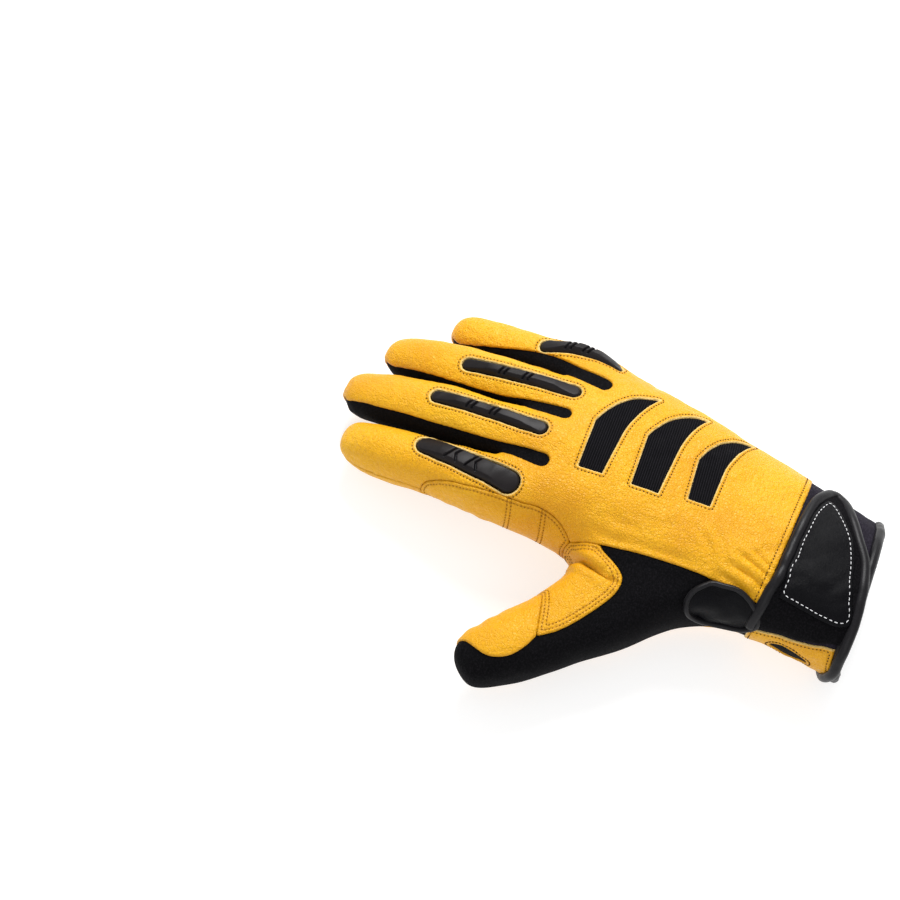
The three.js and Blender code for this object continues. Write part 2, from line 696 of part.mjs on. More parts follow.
function slotAxis(index) {
  const start = SLOT_ENDS[index] * PALM_LENGTH + SLOT_WIDTH / 2;
  const longest = Math.max(...FINGERS.map((finger) => fingerPoint(finger, finger.tip).y));
  const axis = [];
  for (let k = 0; k <= SLOT_STATIONS; k += 1) {
    const share = k / SLOT_STATIONS;
    const y = THREE.MathUtils.lerp(start, longest + FINGER_WIDTH / 2, share);
    const between = (fingerEdge(FINGERS[index], y, 1) + fingerEdge(FINGERS[index + 1], y, -1)) / 2;
    axis.push(new THREE.Vector2(between + SLOT_END_SHIFT[index] * PALM_WIDTH * (1 - share) ** 3, y));
  }
  return axis;
}

function slotOutline(index, grow) {
  const axis = slotAxis(index);
  const half = SLOT_WIDTH / 2 + grow;
  const outer = shiftLine(axis, -half);
  const inner = shiftLine(axis, half).reverse();
  const end = [];
  for (let k = 1; k < STEPS.slotEnd; k += 1) {
    const angle = Math.PI + Math.PI * k / STEPS.slotEnd;
    end.push(new THREE.Vector2(axis[0].x + Math.cos(angle) * half, axis[0].y + Math.sin(angle) * half));
  }
  return [...end, ...outer, ...inner];
}

function ventOutline(vent, grow) {
  const end = planPoint(vent.end);
  const elbow = planPoint(vent.elbow);
  const tip = planPoint(vent.tip);
  const upper = tip.clone().sub(elbow);
  const across = new THREE.Vector2(-upper.y, upper.x).normalize();
  const control = elbow.clone().lerp(tip, 0.5).addScaledVector(across, VENT_BULGE * PALM_WIDTH);
  const outer = new THREE.QuadraticBezierCurve(elbow, control, tip).getPoints(STEPS.ventOuter);
  const legSide = elbow.clone().sub(end).normalize();
  const inward = new THREE.Vector2(legSide.y, -legSide.x).multiplyScalar(VENT_WIDTH * vent.width);
  const innerEnd = end.clone().add(inward);
  const innerElbow = elbow.clone().addScaledVector(inward, VENT_FLARE)
    .addScaledVector(legSide, VENT_WIDTH * VENT_ELBOW_SHIFT);
  const innerControl = innerElbow.clone().lerp(tip, 0.5)
    .addScaledVector(across, VENT_INNER_BULGE * PALM_WIDTH);
  const innerCurve = new THREE.QuadraticBezierCurve(tip, innerControl, innerElbow);
  const inner = innerCurve.getPoints(STEPS.ventInner).slice(1);
  return insetOutline([end, ...outer, ...inner, innerEnd], -grow);
}

function padOutline(pad, grow) {
  const start = planPoint(pad.start);
  const length = PAD_LENGTH * pad.length;
  const wide = PAD_WIDTH * pad.width / 2;
  const narrow = wide * PAD_TAPER;
  const ends = [
    { half: wide, y: wide, from: Math.PI },
    { half: narrow, y: length - narrow, from: 0 },
  ];
  const outline = [];
  for (const { half, y, from } of ends) {
    for (let k = 0; k <= PAD_END_STEPS; k += 1) {
      const angle = from + Math.PI * k / PAD_END_STEPS;
      outline.push(new THREE.Vector2(Math.cos(angle) * half, y + Math.sin(angle) * half));
    }
  }
  const centre = new THREE.Vector2();
  const turn = THREE.MathUtils.degToRad(pad.lean);
  return insetOutline(outline.map((point) => point.rotateAround(centre, turn).add(start)), -grow);
}

function strapOutline() {
  const front = smoothLine(STRAP_FRONT, STEPS.strapFront);
  const rear = smoothLine([...STRAP_TIP, ...STRAP_REAR], STEPS.strapRear);
  return [...front, ...rear];
}

function tabOutline(grow) {
  const outline = [];
  for (let k = 0; k < STEPS.tab; k += 1) {
    const angle = 2 * Math.PI * k / STEPS.tab;
    const along = Math.cos(angle) * (TAB_LENGTH / 2 + grow);
    const across = Math.sin(angle) * (TAB_WIDTH / 2 + grow);
    outline.push(new THREE.Vector2(
      TAB_CENTRE.y * PALM_LENGTH + along * Math.cos(TAB_CENTRE.turn) - across * Math.sin(TAB_CENTRE.turn),
      TAB_CENTRE.z * PALM_HEIGHT + along * Math.sin(TAB_CENTRE.turn) + across * Math.cos(TAB_CENTRE.turn)));
  }
  return outline;
}

function sideLine(shares) {
  return shares.map(([y, z]) => new THREE.Vector2(y * PALM_LENGTH, z * PALM_HEIGHT));
}

// Solids of the regions. Each is drawn back by half the gap, so that neighbours stay clear.

const HALF_GAP = FIT_GAP / 2;

const upperPatches = skin.patches.filter((patch) => patch.upper);
const lowerPatches = skin.patches.filter((patch) => !patch.upper);
const upperWall = wall(upperPatches, -LEATHER, 0, { inset: HALF_GAP, plainInside: true });
const lowerWall = wall(lowerPatches, -LEATHER, 0, { inset: HALF_GAP, plainInside: true });
const wholeWall = wall(skin.patches, -LEATHER, 0, { plainInside: true });

function slots(grow) {
  return FINGERS.slice(1).map((finger, index) => planPrism(slotOutline(index, grow)));
}

function vents(grow) {
  return VENTS.map((vent) => planPrism(ventOutline(vent, grow)));
}

const backSeam = smoothLine(BACK_SEAM, STEPS.back);
const webSeam = smoothLine(WEB_SEAM, STEPS.web);
const thumbSeam = smoothLine(THUMB_SEAM, STEPS.thumb);
const sideSeam = smoothLine(SIDE_SEAM, STEPS.side);
const palmSeam = smoothLine(PALM_SEAM, STEPS.palm);
const junction = backSeam.findIndex((point) => point.y <= webSeam[0].y + FIT_GAP);
const wristY = WRIST_LINE * PALM_LENGTH;
const webCorner = planPoint(WEB_CORNER);
const sideCorner = planPoint(SIDE_CORNER);
const creaseFoot = planPoint(THUMB_CREASE);
const plan = (x, y) => new THREE.Vector2(x, y);

function region(outline) {
  return (grow) => planPrism(insetOutline(outline, -grow));
}

const regions = {
  back: region([...backSeam, plan(FAR, wristY), plan(FAR, FAR), plan(sideCorner.x, FAR),
    plan(sideCorner.x, sideSeam[0].y), ...sideSeam.slice(0, -1)]),
  side: region([...sideSeam, webCorner, sideCorner, plan(sideCorner.x, sideSeam[0].y)]),
  web: region([...backSeam.slice(0, junction), ...webSeam, creaseFoot, plan(creaseFoot.x, FAR),
    plan(sideCorner.x, FAR), sideCorner, webCorner]),
  thumbLeather: region([...thumbSeam, plan(thumbSeam.at(-1).x, FAR), plan(creaseFoot.x, FAR), creaseFoot]),
  thumbBack: region([webSeam[0], ...backSeam.slice(junction), plan(-FAR, wristY), plan(-FAR, FAR),
    plan(thumbSeam.at(-1).x, FAR), ...thumbSeam.slice().reverse(), ...webSeam.slice(1, -1).reverse()]),
  palmPatch: region([...palmSeam, plan(-FAR, wristY), plan(-FAR, FAR), plan(sideCorner.x, FAR), sideCorner,
    webCorner]),
  palm: region([...palmSeam, plan(FAR, wristY), plan(FAR, FAR), plan(sideCorner.x, FAR), sideCorner,
    webCorner]),
};

// The cuff's end lies on a slanted line. These bands run from one distance to another before it.
function cuffEndY(x) {
  const { y, thumbX, outerX } = PALM_ROWS[0];
  return y * PALM_LENGTH - CUFF_SLANT * y * (x - (thumbX + outerX) / 2 * PALM_WIDTH);
}

function cuffBand(fromEnd, toY) {
  const near = [plan(-FAR, cuffEndY(-FAR) + fromEnd), plan(FAR, cuffEndY(FAR) + fromEnd)];
  const top = toY ?? cuffEndY(-FAR) - FAR;
  return planPrism([...near, plan(FAR, top), plan(-FAR, top)]);
}

function gussetOutline() {
  const line = sideLine(GUSSET_LINE);
  return [...line, plan(line.at(-1).x, -FAR), plan(line[0].x, -FAR)];
}

function aboveGussetLine() {
  const line = sideLine(GUSSET_LINE);
  const first = line[0].clone().add(plan(PALM_LENGTH, FIT_GAP));
  return sidePrism([first, ...line, plan(line.at(-1).x, FAR), plan(first.x, FAR)], -FAR, FAR);
}

function gussetRegion(grow) {
  return sidePrism(insetOutline(gussetOutline(), -grow), -FAR, GUSSET_INNER_EDGE * PALM_WIDTH + grow);
}

function gussetHole(grow) {
  const halfLength = GUSSET_HOLE.length * PALM_LENGTH / 2 + grow;
  const halfHeight = GUSSET_HOLE.height * PALM_HEIGHT / 2 + grow;
  const outline = [];
  for (let k = 0; k < STEPS.hole; k += 1) {
    const angle = 2 * Math.PI * k / STEPS.hole;
    outline.push(plan(GUSSET_HOLE.y * PALM_LENGTH + Math.cos(angle) * halfLength,
      GUSSET_HOLE.z * PALM_HEIGHT + Math.sin(angle) * halfHeight));
  }
  return sidePrism(outline, -FAR, -PALM_WIDTH / 4);
}

// Pieces

function cutAll(solid, cutters) {
  return cutters.reduce((left, cutter) => left.subtract(cutter), solid);
}

function nearPatches(test) {
  return skin.patches.filter((patch) => patch.corners.every(
    (corner) => test(skin.points[corner], patch, skin.normals[corner])));
}

function backPanel() {
  const panel = upperWall.intersect(regions.back(-HALF_GAP));
  return cutAll(panel, [...slots(HALF_GAP), ...vents(HALF_GAP)]);
}

function palmPanel() {
  const panel = lowerWall.intersect(regions.palm(-HALF_GAP));
  return cutAll(panel, [...slots(HALF_GAP), regions.side(HALF_GAP)]);
}

function palmPatch() {
  return lowerWall.intersect(regions.palmPatch(-HALF_GAP)).subtract(regions.side(HALF_GAP));
}

function cuffWall() {
  const band = cuffBand(CUFF_RIM + HALF_GAP, wristY - HALF_GAP);
  return wholeWall.intersect(band);
}

function cuffRim() {
  const last = nearPatches((point) => point.y < PALM_ROWS[1].y * PALM_LENGTH + CUFF_RIM);
  const rim = wall(last, -CUFF_RIM_THICKNESS, 0);
  return rim.intersect(cuffBand(CUFF_RIM - HALF_GAP));
}

function overStrap(low, high) {
  const reach = (WRIST_LINE + STRAP_REACH) * PALM_LENGTH;
  const over = nearPatches((point, patch) => patch.upper && point.y < reach);
  return wall(over, low, high).intersect(aboveGussetLine());
}

function strap() {
  const inner = planPrism(insetOutline(strapOutline(), BINDING_WIDTH + FIT_GAP));
  return overStrap(FIT_GAP, FIT_GAP + STRAP_THICKNESS).intersect(inner);
}

function strapBinding() {
  const outline = strapOutline();
  const ring = planPrism(outline).subtract(planPrism(insetOutline(outline, BINDING_WIDTH)));
  return overStrap(FIT_GAP, FIT_GAP + BINDING_HEIGHT).intersect(ring);
}

function strapPatch() {
  const seat = FIT_GAP * 2 + STRAP_THICKNESS;
  return overStrap(seat, seat + PATCH_THICKNESS).intersect(planPrism(STRAP_PATCH.map(planPoint)));
}

function overTab(low, high) {
  const reach = TAB_LENGTH;
  const centre = TAB_CENTRE.y * PALM_LENGTH;
  const over = nearPatches((point, patch) => patch.area === 'palm' && point.x < -PALM_WIDTH / 4
    && Math.abs(point.y - centre) < reach);
  return wall(over, low, high);
}

function tabPlate() {
  return overTab(FIT_GAP, FIT_GAP + STRAP_THICKNESS)
    .intersect(sidePrism(tabOutline(-BINDING_WIDTH * TAB_BINDING_SHARE - FIT_GAP), -FAR, 0));
}

function tabBinding() {
  const ring = sidePrism(tabOutline(0), -FAR, 0)
    .subtract(sidePrism(tabOutline(-BINDING_WIDTH * TAB_BINDING_SHARE), -FAR, 0));
  return overTab(FIT_GAP, FIT_GAP + STRAP_THICKNESS + PATCH_THICKNESS).intersect(ring);
}

function knucklePad(pad) {
  const finger = FINGERS.find(({ name }) => name === pad.finger);
  const start = planPoint(pad.start);
  const farEnd = start.y + PAD_LENGTH * pad.length + PAD_WIDTH;
  const over = nearPatches((point, patch, normal) => patch.upper && normal.z > 0
    && (patch.area === finger.name || patch.area === 'palm')
    && Math.abs(point.x - start.x) < PAD_REACH && point.y > start.y - PAD_WIDTH && point.y < farEnd);
  return wall(over, FIT_GAP, FIT_GAP + PAD_HEIGHT).intersect(planPrism(padOutline(pad, 0)));
}

// Assembly

const glove = new THREE.Group();

function addPiece(name, solid, colour) {
  const mesh = new THREE.Mesh(solidToGeometry(solid), new THREE.MeshStandardMaterial(COLOURS[colour]));
  mesh.name = name;
  glove.add(mesh);
}

addPiece('back_panel', backPanel(), 'leather');
addPiece('palm_panel', palmPanel(), 'leather');
addPiece('palm_patch', palmPatch(), 'leather');
addPiece('side_patch', wholeWall.intersect(regions.side(-HALF_GAP)), 'leather');
addPiece('web_patch', upperWall.intersect(regions.web(-HALF_GAP)), 'leather');
addPiece('thumb_leather', upperWall.intersect(regions.thumbLeather(-HALF_GAP)), 'leather');
addPiece('thumb_back', upperWall.intersect(regions.thumbBack(-HALF_GAP)), 'stretch');
slots(-HALF_GAP).forEach((slot, index) => {
  const name = `fourchette_${FINGERS[index].name}_${FINGERS[index + 1].name}`;
  addPiece(name, wholeWall.intersect(slot), 'stretch');
});
vents(-HALF_GAP).forEach((vent, index) => {
  addPiece(`vent_insert_${index + 1}`, upperWall.intersect(vent), 'ribbed');
});
PADS.forEach((pad) => addPiece(`knuckle_pad_${pad.finger}`, knucklePad(pad), 'rubber'));
addPiece('cuff_band', cuffWall().subtract(gussetRegion(HALF_GAP)), 'stretch');
addPiece('gusset', cuffWall().intersect(gussetRegion(-HALF_GAP)).subtract(gussetHole(HALF_GAP)), 'leather');
addPiece('gusset_insert', cuffWall().intersect(gussetHole(-HALF_GAP)), 'stretch');
addPiece('cuff_binding', cuffRim(), 'piping');
addPiece('closure_strap', strap(), 'stretch');
addPiece('strap_binding', strapBinding(), 'piping');
addPiece('strap_patch', strapPatch(), 'stretch');
addPiece('pull_tab', tabPlate(), 'stretch');
addPiece('tab_binding', tabBinding(), 'piping');

export default glove;
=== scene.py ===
# A climbing glove for the right hand: leather, stretch fabric, rubber pads, strap, tab and cuff.
# Every piece is cut from one rounded skin of the hand, in millimetres, and is stored in metres.
# +Y runs to the fingertips, +X to the little finger, +Z up through the back of the hand.
import math

import bpy
import numpy as np
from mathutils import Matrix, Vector
from mathutils.bvhtree import BVHTree
from mathutils.kdtree import KDTree


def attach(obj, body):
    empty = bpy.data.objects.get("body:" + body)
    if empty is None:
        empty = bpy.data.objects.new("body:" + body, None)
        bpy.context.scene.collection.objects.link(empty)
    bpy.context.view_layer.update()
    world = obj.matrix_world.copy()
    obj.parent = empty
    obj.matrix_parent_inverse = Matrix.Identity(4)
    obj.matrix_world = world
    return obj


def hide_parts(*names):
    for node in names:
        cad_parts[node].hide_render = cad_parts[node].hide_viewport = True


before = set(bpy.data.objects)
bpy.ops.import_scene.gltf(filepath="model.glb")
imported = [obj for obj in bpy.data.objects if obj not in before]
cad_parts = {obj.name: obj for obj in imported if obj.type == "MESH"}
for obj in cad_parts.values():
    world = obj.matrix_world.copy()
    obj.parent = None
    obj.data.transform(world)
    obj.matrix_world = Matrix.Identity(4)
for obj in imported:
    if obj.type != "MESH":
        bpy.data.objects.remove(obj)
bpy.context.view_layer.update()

MM = 0.001

# Driving sizes of the glove
PALM_WIDTH = 88
PALM_LENGTH = 100
PALM_HEIGHT = 45
FINGER_WIDTH = 24
FINGER_HEIGHT = 24
THUMB_LENGTH = 82
THUMB_WIDTH = 30
THUMB_HEIGHT = 28

# The cage that rounds to the skin
WIDTH_FULLNESS = 1.06
HEIGHT_FULLNESS = 1.1
CORNER = 0.78
CORNER_REACH = 0.82
PALM_ROWS = [
    dict(y=-1.04, thumb_x=-0.49, outer_x=0.26, top=(0.83, 0.9, 0.61), bottom=(0.13, 0.07, 0.18)),
    dict(y=-0.86, thumb_x=-0.48, outer_x=0.3, top=(0.84, 0.98, 0.69), bottom=(0.13, 0.04, 0.16)),
    dict(y=-0.66, thumb_x=-0.47, outer_x=0.34, top=(0.84, 0.95, 0.69), bottom=(0.08, -0.01, 0.1)),
    dict(y=-0.46, thumb_x=-0.48, outer_x=0.385, top=(0.87, 0.95, 0.69), bottom=(0, -0.06, 0.02)),
    dict(y=-0.2, thumb_x=-0.51, outer_x=0.43, top=(0.89, 0.98, 0.71), bottom=(-0.02, -0.07, -0.01)),
    dict(y=0.06, thumb_x=-0.49, outer_x=0.465, top=(0.91, 1, 0.73), bottom=(0.05, -0.08, -0.01)),
    dict(y=0.27, thumb_x=-0.495, outer_x=0.49, top=(0.91, 1.01, 0.73), bottom=(0.16, 0.02, 0.04)),
]
SHOULDERS = (0.05, 0.165, 0.28, 0.39, 0.5, 0.61, 0.72, 0.835, 0.95)
SHOULDER_DROP = 0.08
SIDE_BULGE = 0.028
CUFF_SLANT = 0.05
FINGERS = [
    dict(name="index", length=71, root=(-0.398, 0.46, 0.66), middle=(0, 0.535, -0.113),
         tip=(0.004, 1, -0.26), widths=(0.46, 0.435, 0.4), heights=(0.47, 0.42, 0.36)),
    dict(name="middle", length=76, root=(-0.134, 0.5, 0.69), middle=(-0.01, 0.53, -0.118),
         tip=(-0.026, 1, -0.27), widths=(0.49, 0.475, 0.425), heights=(0.51, 0.46, 0.385)),
    dict(name="ring", length=71, root=(0.127, 0.47, 0.655), middle=(-0.004, 0.55, -0.127),
         tip=(-0.013, 1, -0.285), widths=(0.47, 0.45, 0.4), heights=(0.485, 0.435, 0.365)),
    dict(name="pinky", length=63, root=(0.362, 0.36, 0.555), middle=(0.02, 0.49, -0.13),
         tip=(0.035, 1, -0.26), widths=(0.433, 0.408, 0.367), heights=(0.44, 0.39, 0.333)),
]
FINGER_SECTIONS = ((0.2, 1), (0.5, 1), (0.8, 0.98), (0.955, 0.72))
CROTCH_LINE = (0.46, 0.5, 0.49, 0.495, 0.485, 0.45, 0.4, 0.37, 0.34)
CROTCH_FILL = 0.72
CROTCH_TUCK = 0.9
THUMB_POINTS = [
    dict(place=(-0.537, -0.244, 0.256), width=0.7, height=0.643),
    dict(place=(-0.805, -0.073, 0.244), width=0.5, height=0.5),
    dict(place=(-1.073, 0.152, 0.244), width=0.433, height=0.43),
    dict(place=(-1.317, 0.378, 0.22), width=0.383, height=0.357),
]
THUMB_SECTIONS = ((0.34, 1), (0.64, 1), (0.87, 0.97), (0.97, 0.7))
THUMB_ROW = 3

# Seams in plan, as shares of PALM_WIDTH and PALM_LENGTH
BACK_SEAM = [(-0.488, 0.115), (-0.478, 0), (-0.453, -0.13), (-0.433, -0.25), (-0.418, -0.36),
             (-0.411, -0.49), (-0.42, -0.655)]
WEB_SEAM = [(-0.478, 0), (-0.497, -0.02), (-0.544, -0.1), (-0.595, -0.137), (-0.68, -0.125),
            (-0.8, -0.067), (-0.907, 0), (-0.98, 0.072)]
THUMB_SEAM = [(-0.98, 0.072), (-1.035, 0.09), (-1.095, 0.124), (-1.132, 0.17), (-1.144, 0.225),
              (-1.115, 0.31)]
SIDE_SEAM = [(-0.56, 0.775), (-0.512, 0.755), (-0.49, 0.667), (-0.475, 0.51), (-0.456, 0.37),
             (-0.438, 0.285), (-0.443, 0.21), (-0.463, 0.155), (-0.488, 0.115)]
PALM_SEAM = [(-0.488, 0.115), (-0.4, 0.06), (-0.3, -0.03), (-0.22, -0.16), (-0.19, -0.32),
             (-0.21, -0.48), (-0.27, -0.655)]
WEB_CORNER = (-0.57, 0.2)
SIDE_CORNER = (-0.68, 0.25)
THUMB_CREASE = (-0.775, 0.12)
WRIST_LINE = -0.655
GUSSET_LINE = [(-0.655, 0.55), (-0.76, 0.61), (-0.86, 0.67), (-1.1, 0.8)]
GUSSET_INNER_EDGE = -0.33
GUSSET_HOLE = dict(y=-0.835, z=0.4, length=0.16, height=0.22)
SLOT_WIDTH = 6.4
SLOTS = [
    dict(end=0.32, shifts=(0.024, 0.027, 0.031, 0.027, 0.02), widths=(0.92, 0.36, 0.36, 0.45, 0.9)),
    dict(end=0.326, shifts=(0.02, 0.014, 0.016, 0.03, 0.03), widths=(0.88, 0.46, 0.42, 0.56, 0.9)),
    dict(end=0.235, shifts=(0.01, 0.06, 0.035, 0.04, 0.04), widths=(1, 0.84, 0.5, 0.5, 0.5)),
]
VENTS = [
    dict(end=(-0.211, 0.209), elbow=(0.043, 0.228), tip=(0.308, 0.037), width=0.98),
    dict(end=(-0.187, -0.01), elbow=(0.086, 0.014), tip=(0.338, -0.175), width=1.1),
    dict(end=(-0.133, -0.235), elbow=(0.083, -0.209), tip=(0.332, -0.383), width=0.9),
]
VENT_WIDTH = 10
VENT_FLARE = 1.22
VENT_BULGE = 0.09
VENT_INNER_BULGE = 0.03
VENT_ELBOW_SHIFT = -0.06
PAD_WIDTH = 9.6
PAD_LENGTH = 48
PAD_TAPER = 0.86
PADS = [
    dict(finger="index", start=(-0.404, 0.388), lean=-5, length=0.95, width=1, tilt=0),
    dict(finger="middle", start=(-0.105, 0.384), lean=1.5, length=1.04, width=0.66, tilt=0),
    dict(finger="ring", start=(0.158, 0.335), lean=4.5, length=1.05, width=0.66, tilt=0),
    dict(finger="pinky", start=(0.41, 0.235), lean=-3, length=0.74, width=0.7, tilt=42),
]
STRAP_FRONT = [(-0.62, -0.625), (-0.38, -0.648), (-0.29, -0.66), (-0.18, -0.661), (-0.06, -0.662),
               (0.08, -0.67), (0.17, -0.684), (0.25, -0.72)]
STRAP_REAR = [(0.275, -0.76), (0.23, -0.82), (0.13, -0.875), (0.04, -0.92), (-0.04, -0.965),
              (-0.12, -0.99), (-0.25, -1.015), (-0.38, -1.03), (-0.62, -1.045)]
STRAP_PATCH = [(-0.37, -0.705), (-0.28, -0.7), (-0.18, -0.695), (-0.06, -0.695), (0.07, -0.705),
               (0.16, -0.735), (0.14, -0.785), (0.06, -0.845), (-0.03, -0.893), (-0.12, -0.925),
               (-0.24, -0.955), (-0.37, -0.975)]
TAB = dict(y=-0.53, z=0.675, turn=6, length=30, width=18.5)

# Soft folds in the leather, in plan. depth is in millimetres, and below 0 the fold is a ridge.
FOLDS = [
    dict(path=[(-0.545, 0.085), (-0.58, 0.01), (-0.598, -0.055), (-0.614, -0.112)], depth=2.4, width=1.3),
    dict(path=[(-0.522, 0.06), (-0.545, -0.01), (-0.57, -0.075)], depth=-1.1, width=1.8),
    dict(path=[(-0.44, 0.07), (-0.435, -0.05), (-0.41, -0.2), (-0.39, -0.38)], depth=0.5, width=1.8),
    dict(path=[(-0.21, 0.315), (-0.13, 0.295), (-0.03, 0.262)], depth=0.45, width=1.5),
    dict(path=[(-0.24, 0.285), (-0.15, 0.265), (-0.05, 0.25)], depth=0.3, width=1.3),
    dict(path=[(0.04, 0.3), (0.09, 0.27), (0.1, 0.235)], depth=0.35, width=1.6),
    dict(path=[(0.25, 0.2), (0.21, 0.17), (0.2, 0.15)], depth=0.3, width=1.8),
    dict(path=[(-0.33, -0.48), (-0.335, -0.56), (-0.36, -0.66)], depth=0.8, width=1.2),
    dict(path=[(-0.27, -0.5), (-0.29, -0.58), (-0.32, -0.66)], depth=0.6, width=1.1),
    dict(path=[(-0.22, -0.53), (-0.25, -0.59), (-0.28, -0.66)], depth=0.5, width=1.0),
    dict(path=[(-0.38, -0.46), (-0.385, -0.53), (-0.4, -0.62)], depth=0.7, width=1.2),
    dict(path=[(-0.35, 0.08), (-0.36, -0.06), (-0.33, -0.2)], depth=0.3, width=2.2),
    dict(path=[(-0.3, 0.02), (-0.31, -0.12), (-0.27, -0.26)], depth=0.22, width=1.8),
    dict(path=[(-0.24, -0.3), (-0.29, -0.38), (-0.37, -0.42)], depth=0.4, width=1.4),
    dict(path=[(-0.2, -0.37), (-0.27, -0.44), (-0.36, -0.47)], depth=0.35, width=1.3),
    dict(path=[(0.33, 0.02), (0.36, -0.08), (0.35, -0.2)], depth=0.4, width=2),
    dict(path=[(0.4, -0.02), (0.42, -0.12), (0.4, -0.25)], depth=0.35, width=1.8),
    dict(path=[(-0.52, 0.74), (-0.47, 0.72), (-0.41, 0.73)], depth=0.35, width=1.6),
    dict(path=[(-0.5, 0.99), (-0.45, 0.975), (-0.38, 0.985)], depth=0.4, width=1.6),
    dict(path=[(-0.2, 1.03), (-0.14, 1.015), (-0.07, 1.025)], depth=0.4, width=1.6),
    dict(path=[(0.05, 0.97), (0.11, 0.955), (0.17, 0.965)], depth=0.4, width=1.6),
    dict(path=[(0.32, 0.78), (0.38, 0.765), (0.44, 0.775)], depth=0.4, width=1.6),
]

FAR = 400
SKIN_LEVELS = 4
AREAS = ("palm", "index", "middle", "ring", "pinky", "thumb")

# Small maths


def quadratic(values, t):
    first, middle, last = values
    return (1 - t) * (1 - 2 * t) * first + 4 * t * (1 - t) * middle + t * (2 * t - 1) * last


def unit(v):
    return v / np.maximum(np.linalg.norm(v, axis=-1, keepdims=True), 1e-9)


def smooth_step(low, high, x):
    t = np.clip((x - low) / (high - low), 0, 1)
    return t * t * (3 - 2 * t)


def cubic(p0, p1, p2, p3, t):
    """A place between p1 and p2 on a smooth line, and the slope there."""
    v0, v1 = (p2 - p0) / 2, (p3 - p1) / 2
    third, second = 2 * p1 - 2 * p2 + v0 + v1, 3 * p2 - 3 * p1 - 2 * v0 - v1
    return third * t ** 3 + second * t ** 2 + v0 * t + p1, 3 * third * t ** 2 + 2 * second * t + v0


def catmull_rom(points, share):
    points = np.asarray(points, float)
    last = len(points) - 1
    i = min(int(share * last), last)
    return cubic(*(points[min(max(k, 0), last)] for k in range(i - 1, i + 3)), share * last - i)[0]


def plan(shares):
    return np.asarray(shares, float) * (PALM_WIDTH, PALM_LENGTH)


def side(shares):
    return np.asarray(shares, float) * (PALM_LENGTH, PALM_HEIGHT)


def smooth_line(points, steps=48):
    return np.array([catmull_rom(points, k / steps) for k in range(steps + 1)])


# The cage, a coarse quad mesh of the hand


class Cage:
    def __init__(self):
        self.points = []
        self.quads = []
        self.labels = []

    def add(self, point):
        self.points.append(tuple(float(v) for v in point))
        return len(self.points) - 1

    def face(self, corners, upper, area):
        self.quads.append(corners)
        self.labels.append(2 * AREAS.index(area) + int(upper))


def palm_row(cage, row):
    left, right = row["thumb_x"] * PALM_WIDTH, row["outer_x"] * PALM_WIDTH
    centre = (left + right) / 2

    def along(x):
        return row["y"] * PALM_LENGTH + CUFF_SLANT * (x - centre) * max(0, -row["y"])

    top, bottom = [], []
    for k, share in enumerate(SHOULDERS):
        x = left + (right - left) * share
        drop = SHOULDER_DROP if k in (0, len(SHOULDERS) - 1) else 0
        top.append(cage.add((x, along(x), (quadratic(row["top"], share) - drop) * PALM_HEIGHT)))
        bottom.append(cage.add((x, along(x), (quadratic(row["bottom"], share) + drop) * PALM_HEIGHT)))
    bulge = SIDE_BULGE * PALM_WIDTH
    thumb_z = (row["top"][0] + row["bottom"][0]) * PALM_HEIGHT / 2
    outer_z = (row["top"][2] + row["bottom"][2]) * PALM_HEIGHT / 2
    return dict(top=top, bottom=bottom, thumb_side=cage.add((left - bulge, along(left), thumb_z)),
                outer_side=cage.add((right + bulge, along(right), outer_z)))


def finger_root(finger):
    return np.array(finger["root"]) * (PALM_WIDTH, PALM_LENGTH, PALM_HEIGHT)


def finger_line(finger):
    root = finger_root(finger)
    middle = root + np.array(finger["middle"]) * finger["length"]
    tip = root + np.array(finger["tip"]) * finger["length"]
    return root, 2 * middle - (root + tip) / 2, tip


def bezier(line, t):
    a, b, c = line
    return (1 - t) ** 2 * a + 2 * t * (1 - t) * b + t * t * c


def bezier_slope(line, t):
    a, b, c = line
    return 2 * (1 - t) * (b - a) + 2 * t * (c - b)


def crotch_row(cage):
    roots = [finger_root(finger) for finger in FINGERS]
    widths = [finger["widths"][0] * FINGER_WIDTH for finger in FINGERS]
    heights = [finger["heights"][0] * FINGER_HEIGHT for finger in FINGERS]
    top, bottom, middles = [], [], []
    for k, share in enumerate(CROTCH_LINE):
        y = share * PALM_LENGTH
        own = k // 2
        if k % 2:
            x, z = roots[own][0], roots[own][2]
            half = heights[own] * HEIGHT_FULLNESS
        elif k in (0, 8):
            end = 0 if k == 0 else 3
            x = roots[end][0] + (-1 if k == 0 else 1) * widths[end] * CORNER_REACH
            z = roots[end][2]
            half = heights[end] * CORNER * HEIGHT_FULLNESS
        else:
            x = (roots[own - 1][0] + widths[own - 1] + roots[own][0] - widths[own]) / 2
            z = (roots[own - 1][2] + roots[own][2]) / 2
            half = (heights[own - 1] + heights[own]) / 2 * CROTCH_FILL
            middles.append(cage.add((x, y - CROTCH_TUCK, z)))
        top.append(cage.add((x, y, z + half)))
        bottom.append(cage.add((x, y, z - half)))
    ends = []
    for end, outward in ((0, -1), (-1, 1)):
        x = roots[end][0] + outward * widths[end] * WIDTH_FULLNESS
        ends.append(cage.add((x, CROTCH_LINE[end] * PALM_LENGTH, roots[end][2])))
    return dict(top=top, bottom=bottom, thumb_side=ends[0], outer_side=ends[1],
                middles=[ends[0], *middles, ends[1]])


RING = ((0, 1), (1, 1), (1, 0), (1, -1), (0, -1), (-1, -1), (-1, 0), (-1, 1))
RING_UPPER = (True, True, False, False, False, False, True, True)


